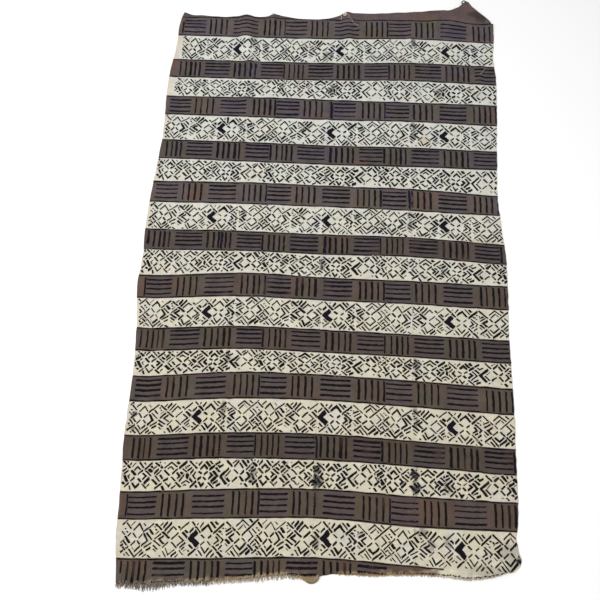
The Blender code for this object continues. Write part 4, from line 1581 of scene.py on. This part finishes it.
def edge_stitches(seed):
    """Dark overcast stitches along the lower right edge, where the raw end was caught down."""
    rng = np.random.default_rng(seed)
    x = np.arange(0.245, 0.500, 0.0066)
    x = x + rng.normal(0, 0.6, len(x)) * MM
    y = lower_end(x) + 4.2 * MM + rng.normal(0, 0.6, len(x)) * MM
    run_x = rng.uniform(3.0, 4.6, len(x)) * MM
    colours = yarn_colours((0.030, 0.022, 0.020), BROWN_YARN, len(x), rng)
    run_y = rng.normal(0, 0.6, len(x)) * MM
    radii = rng.uniform(0.7, 1.4, (len(x), 1)) * MM
    return make_stitches("edge_thread", x, y, run_x, run_y, 0.6 * MM, radii, colours)


hem_stitches(71)
edge_stitches(72)

# %% [markdown]
# ## Odd ends of thread
#
# A used cloth has small accidents: a knot of pale thread at the upper edge, a reddish curl at the
# peak, a loose thread across a band, and the turned corner at the seam of the frayed end. Each is
# a path worked out for its own place.

# %% Odd threads
def thread_knot(x, y, size, turns, seed):
    """A knot: x and y go round a circle and z goes up and down as sin(turns a), two rounds long."""
    rng = np.random.default_rng(seed)
    a = np.linspace(0, 4 * np.pi, 44)
    reach = size * (0.72 + 0.28 * np.cos(turns * a / 2))
    wobble = rng.normal(0, 0.05, (44, 2)) * size
    across = x + reach * np.cos(a) + wobble[:, 0]
    along = y + reach * np.sin(a) * 0.8 + wobble[:, 1]
    raised = size * (0.32 + 0.22 * np.sin(turns * a / 2 + 1))
    return np.stack((across, along, on_cloth(across, along) + raised), -1)


def thread_curl(places, lift_by):
    """A loose thread through given places (mm), lying on the cloth and raised in its middle."""
    places = np.array(places, dtype=float) * MM
    at = np.linspace(0, len(places) - 1, 26)
    x = np.interp(at, np.arange(len(places)), places[:, 0])
    y = np.interp(at, np.arange(len(places)), places[:, 1])
    kernel = np.array((1, 2, 3, 2, 1)) / 9
    x[2:-2] = np.convolve(x, kernel, "valid")
    y[2:-2] = np.convolve(y, kernel, "valid")
    raised = 0.5 * MM + lift_by * MM * np.sin(np.linspace(0, np.pi, 26))
    return np.stack((x, y, on_cloth(x, y) + raised), -1)


def single_yarn(name, path, radius, colour):
    """One yarn as its own piece."""
    return make_yarns(name, path[None], radius, np.array([colour]), sides=7)


single_yarn("pale_knot", thread_knot(0.043, 0.832, 6.0 * MM, 5, 81), 1.0 * MM, PALE_YARN)
# Name: places (mm), rise in the middle (mm), radius (mm), colour
ODD_THREADS = {
    "pale_knot_end": (((41, 834), (34, 838), (30, 832), (33, 825), (30, 818)), 1.0, 0.6, PALE_YARN),
    "knot_tail": (((47, 831), (55, 830), (57, 819), (68, 815), (69, 804), (83, 801), (88, 790)),
                  0.6, 0.32, PALE_YARN),
    "peak_curl": (((436, 887), (431, 893), (425, 896), (420, 892), (423, 886)), 1.2, 1.8, CURL_YARN),
    "hem_tuft": (((-176, 822), (-184, 828), (-192, 829), (-198, 823)), 1.5, 0.8, BROWN_YARN),
    "stray_thread": (((490, 648), (482, 641), (478, 632), (470, 627)), 0.3, 0.35, PALE_YARN),
    "long_scratch": (((-112, 36), (-106, 46), (-107, 58), (-98, 68)), 0.2, 0.3, TAN_YARN),
}
for name, (places, rise, radius, colour) in ODD_THREADS.items():
    single_yarn(name, thread_curl(places, rise), radius * MM, colour)


def golden_lump(count, seed):
    """A clump of loose warp turned back over the end of the middle seam: arches side by side."""
    rng = np.random.default_rng(seed)
    share = np.linspace(0, 1, 12)
    spread = np.linspace(0, 1, count)[:, None]
    x = (-26 + 46 * share + rng.normal(0, 1.6, (count, 1)) * np.sin(share * 9)) * MM
    sag = np.sin(np.pi * share ** 1.3) ** 0.8 * (3 + 11 * spread)
    y = (-838 - 3 * spread - sag + rng.normal(0, 0.8, (count, 1))) * MM
    z = lift(x, y) + (1.8 + 2.4 * np.sin(np.pi * share) * (1 - spread)) * MM
    radii = rng.uniform(0.5, 0.9, (count, 1)) * MM * (1 - 0.4 * (2 * share - 1) ** 4)
    colours = yarn_colours(TAN_YARN, GOLD_YARN, count, rng) * rng.uniform(0.45, 1.1, (count, 1))
    return make_yarns("golden_lump", np.stack((x, y, z), -1), radii, colours, sides=6)


golden_lump(11, 83)

# %% [markdown]
# ## Light and floor
#
# The cloth is shown on plain white in even light. A wide soft light from above keeps the
# colours true, and a weaker one from the side lets the folds and the edge show.

# %% Light and floor
def soft_light(name, place, size, power, colour):
    """A square area light that looks at the middle of the cloth."""
    lamp = bpy.data.objects.new(name, bpy.data.lights.new(name, "AREA"))
    lamp.data.size = size
    lamp.data.energy = power
    lamp.data.color = colour
    lamp.location = place
    lamp.rotation_euler = (-Vector(place)).to_track_quat("-Z", "Y").to_euler()
    bpy.context.scene.collection.objects.link(lamp)
    return lamp


floor_mesh = bpy.data.meshes.new("floor")
floor_mesh.from_pydata([(-6, -6, 0), (6, -6, 0), (6, 6, 0), (-6, 6, 0)], [], [(0, 1, 2, 3)])
floor = bpy.data.objects.new("floor", floor_mesh)
bpy.context.scene.collection.objects.link(floor)
paper, _, paper_shader = new_material("pale_floor")
paper_shader.inputs["Base Color"].default_value = (0.96, 0.96, 0.95, 1)
paper_shader.inputs["Roughness"].default_value = 0.9
floor_mesh.materials.append(paper)

soft_light("light_above", (-0.4, -0.3, 2.6), 2.6, 60.0, (1.0, 0.99, 0.97))
soft_light("light_side", (-2.2, 1.6, 1.5), 1.2, 15.0, (1.0, 0.98, 0.95))
world = bpy.data.worlds.new("studio")
world.use_nodes = True
world.node_tree.nodes["Background"].inputs["Color"].default_value = (0.95, 0.97, 1.0, 1)
world.node_tree.nodes["Background"].inputs["Strength"].default_value = 0.50
bpy.context.scene.world = world
bpy.context.scene.view_settings.view_transform = "Standard"
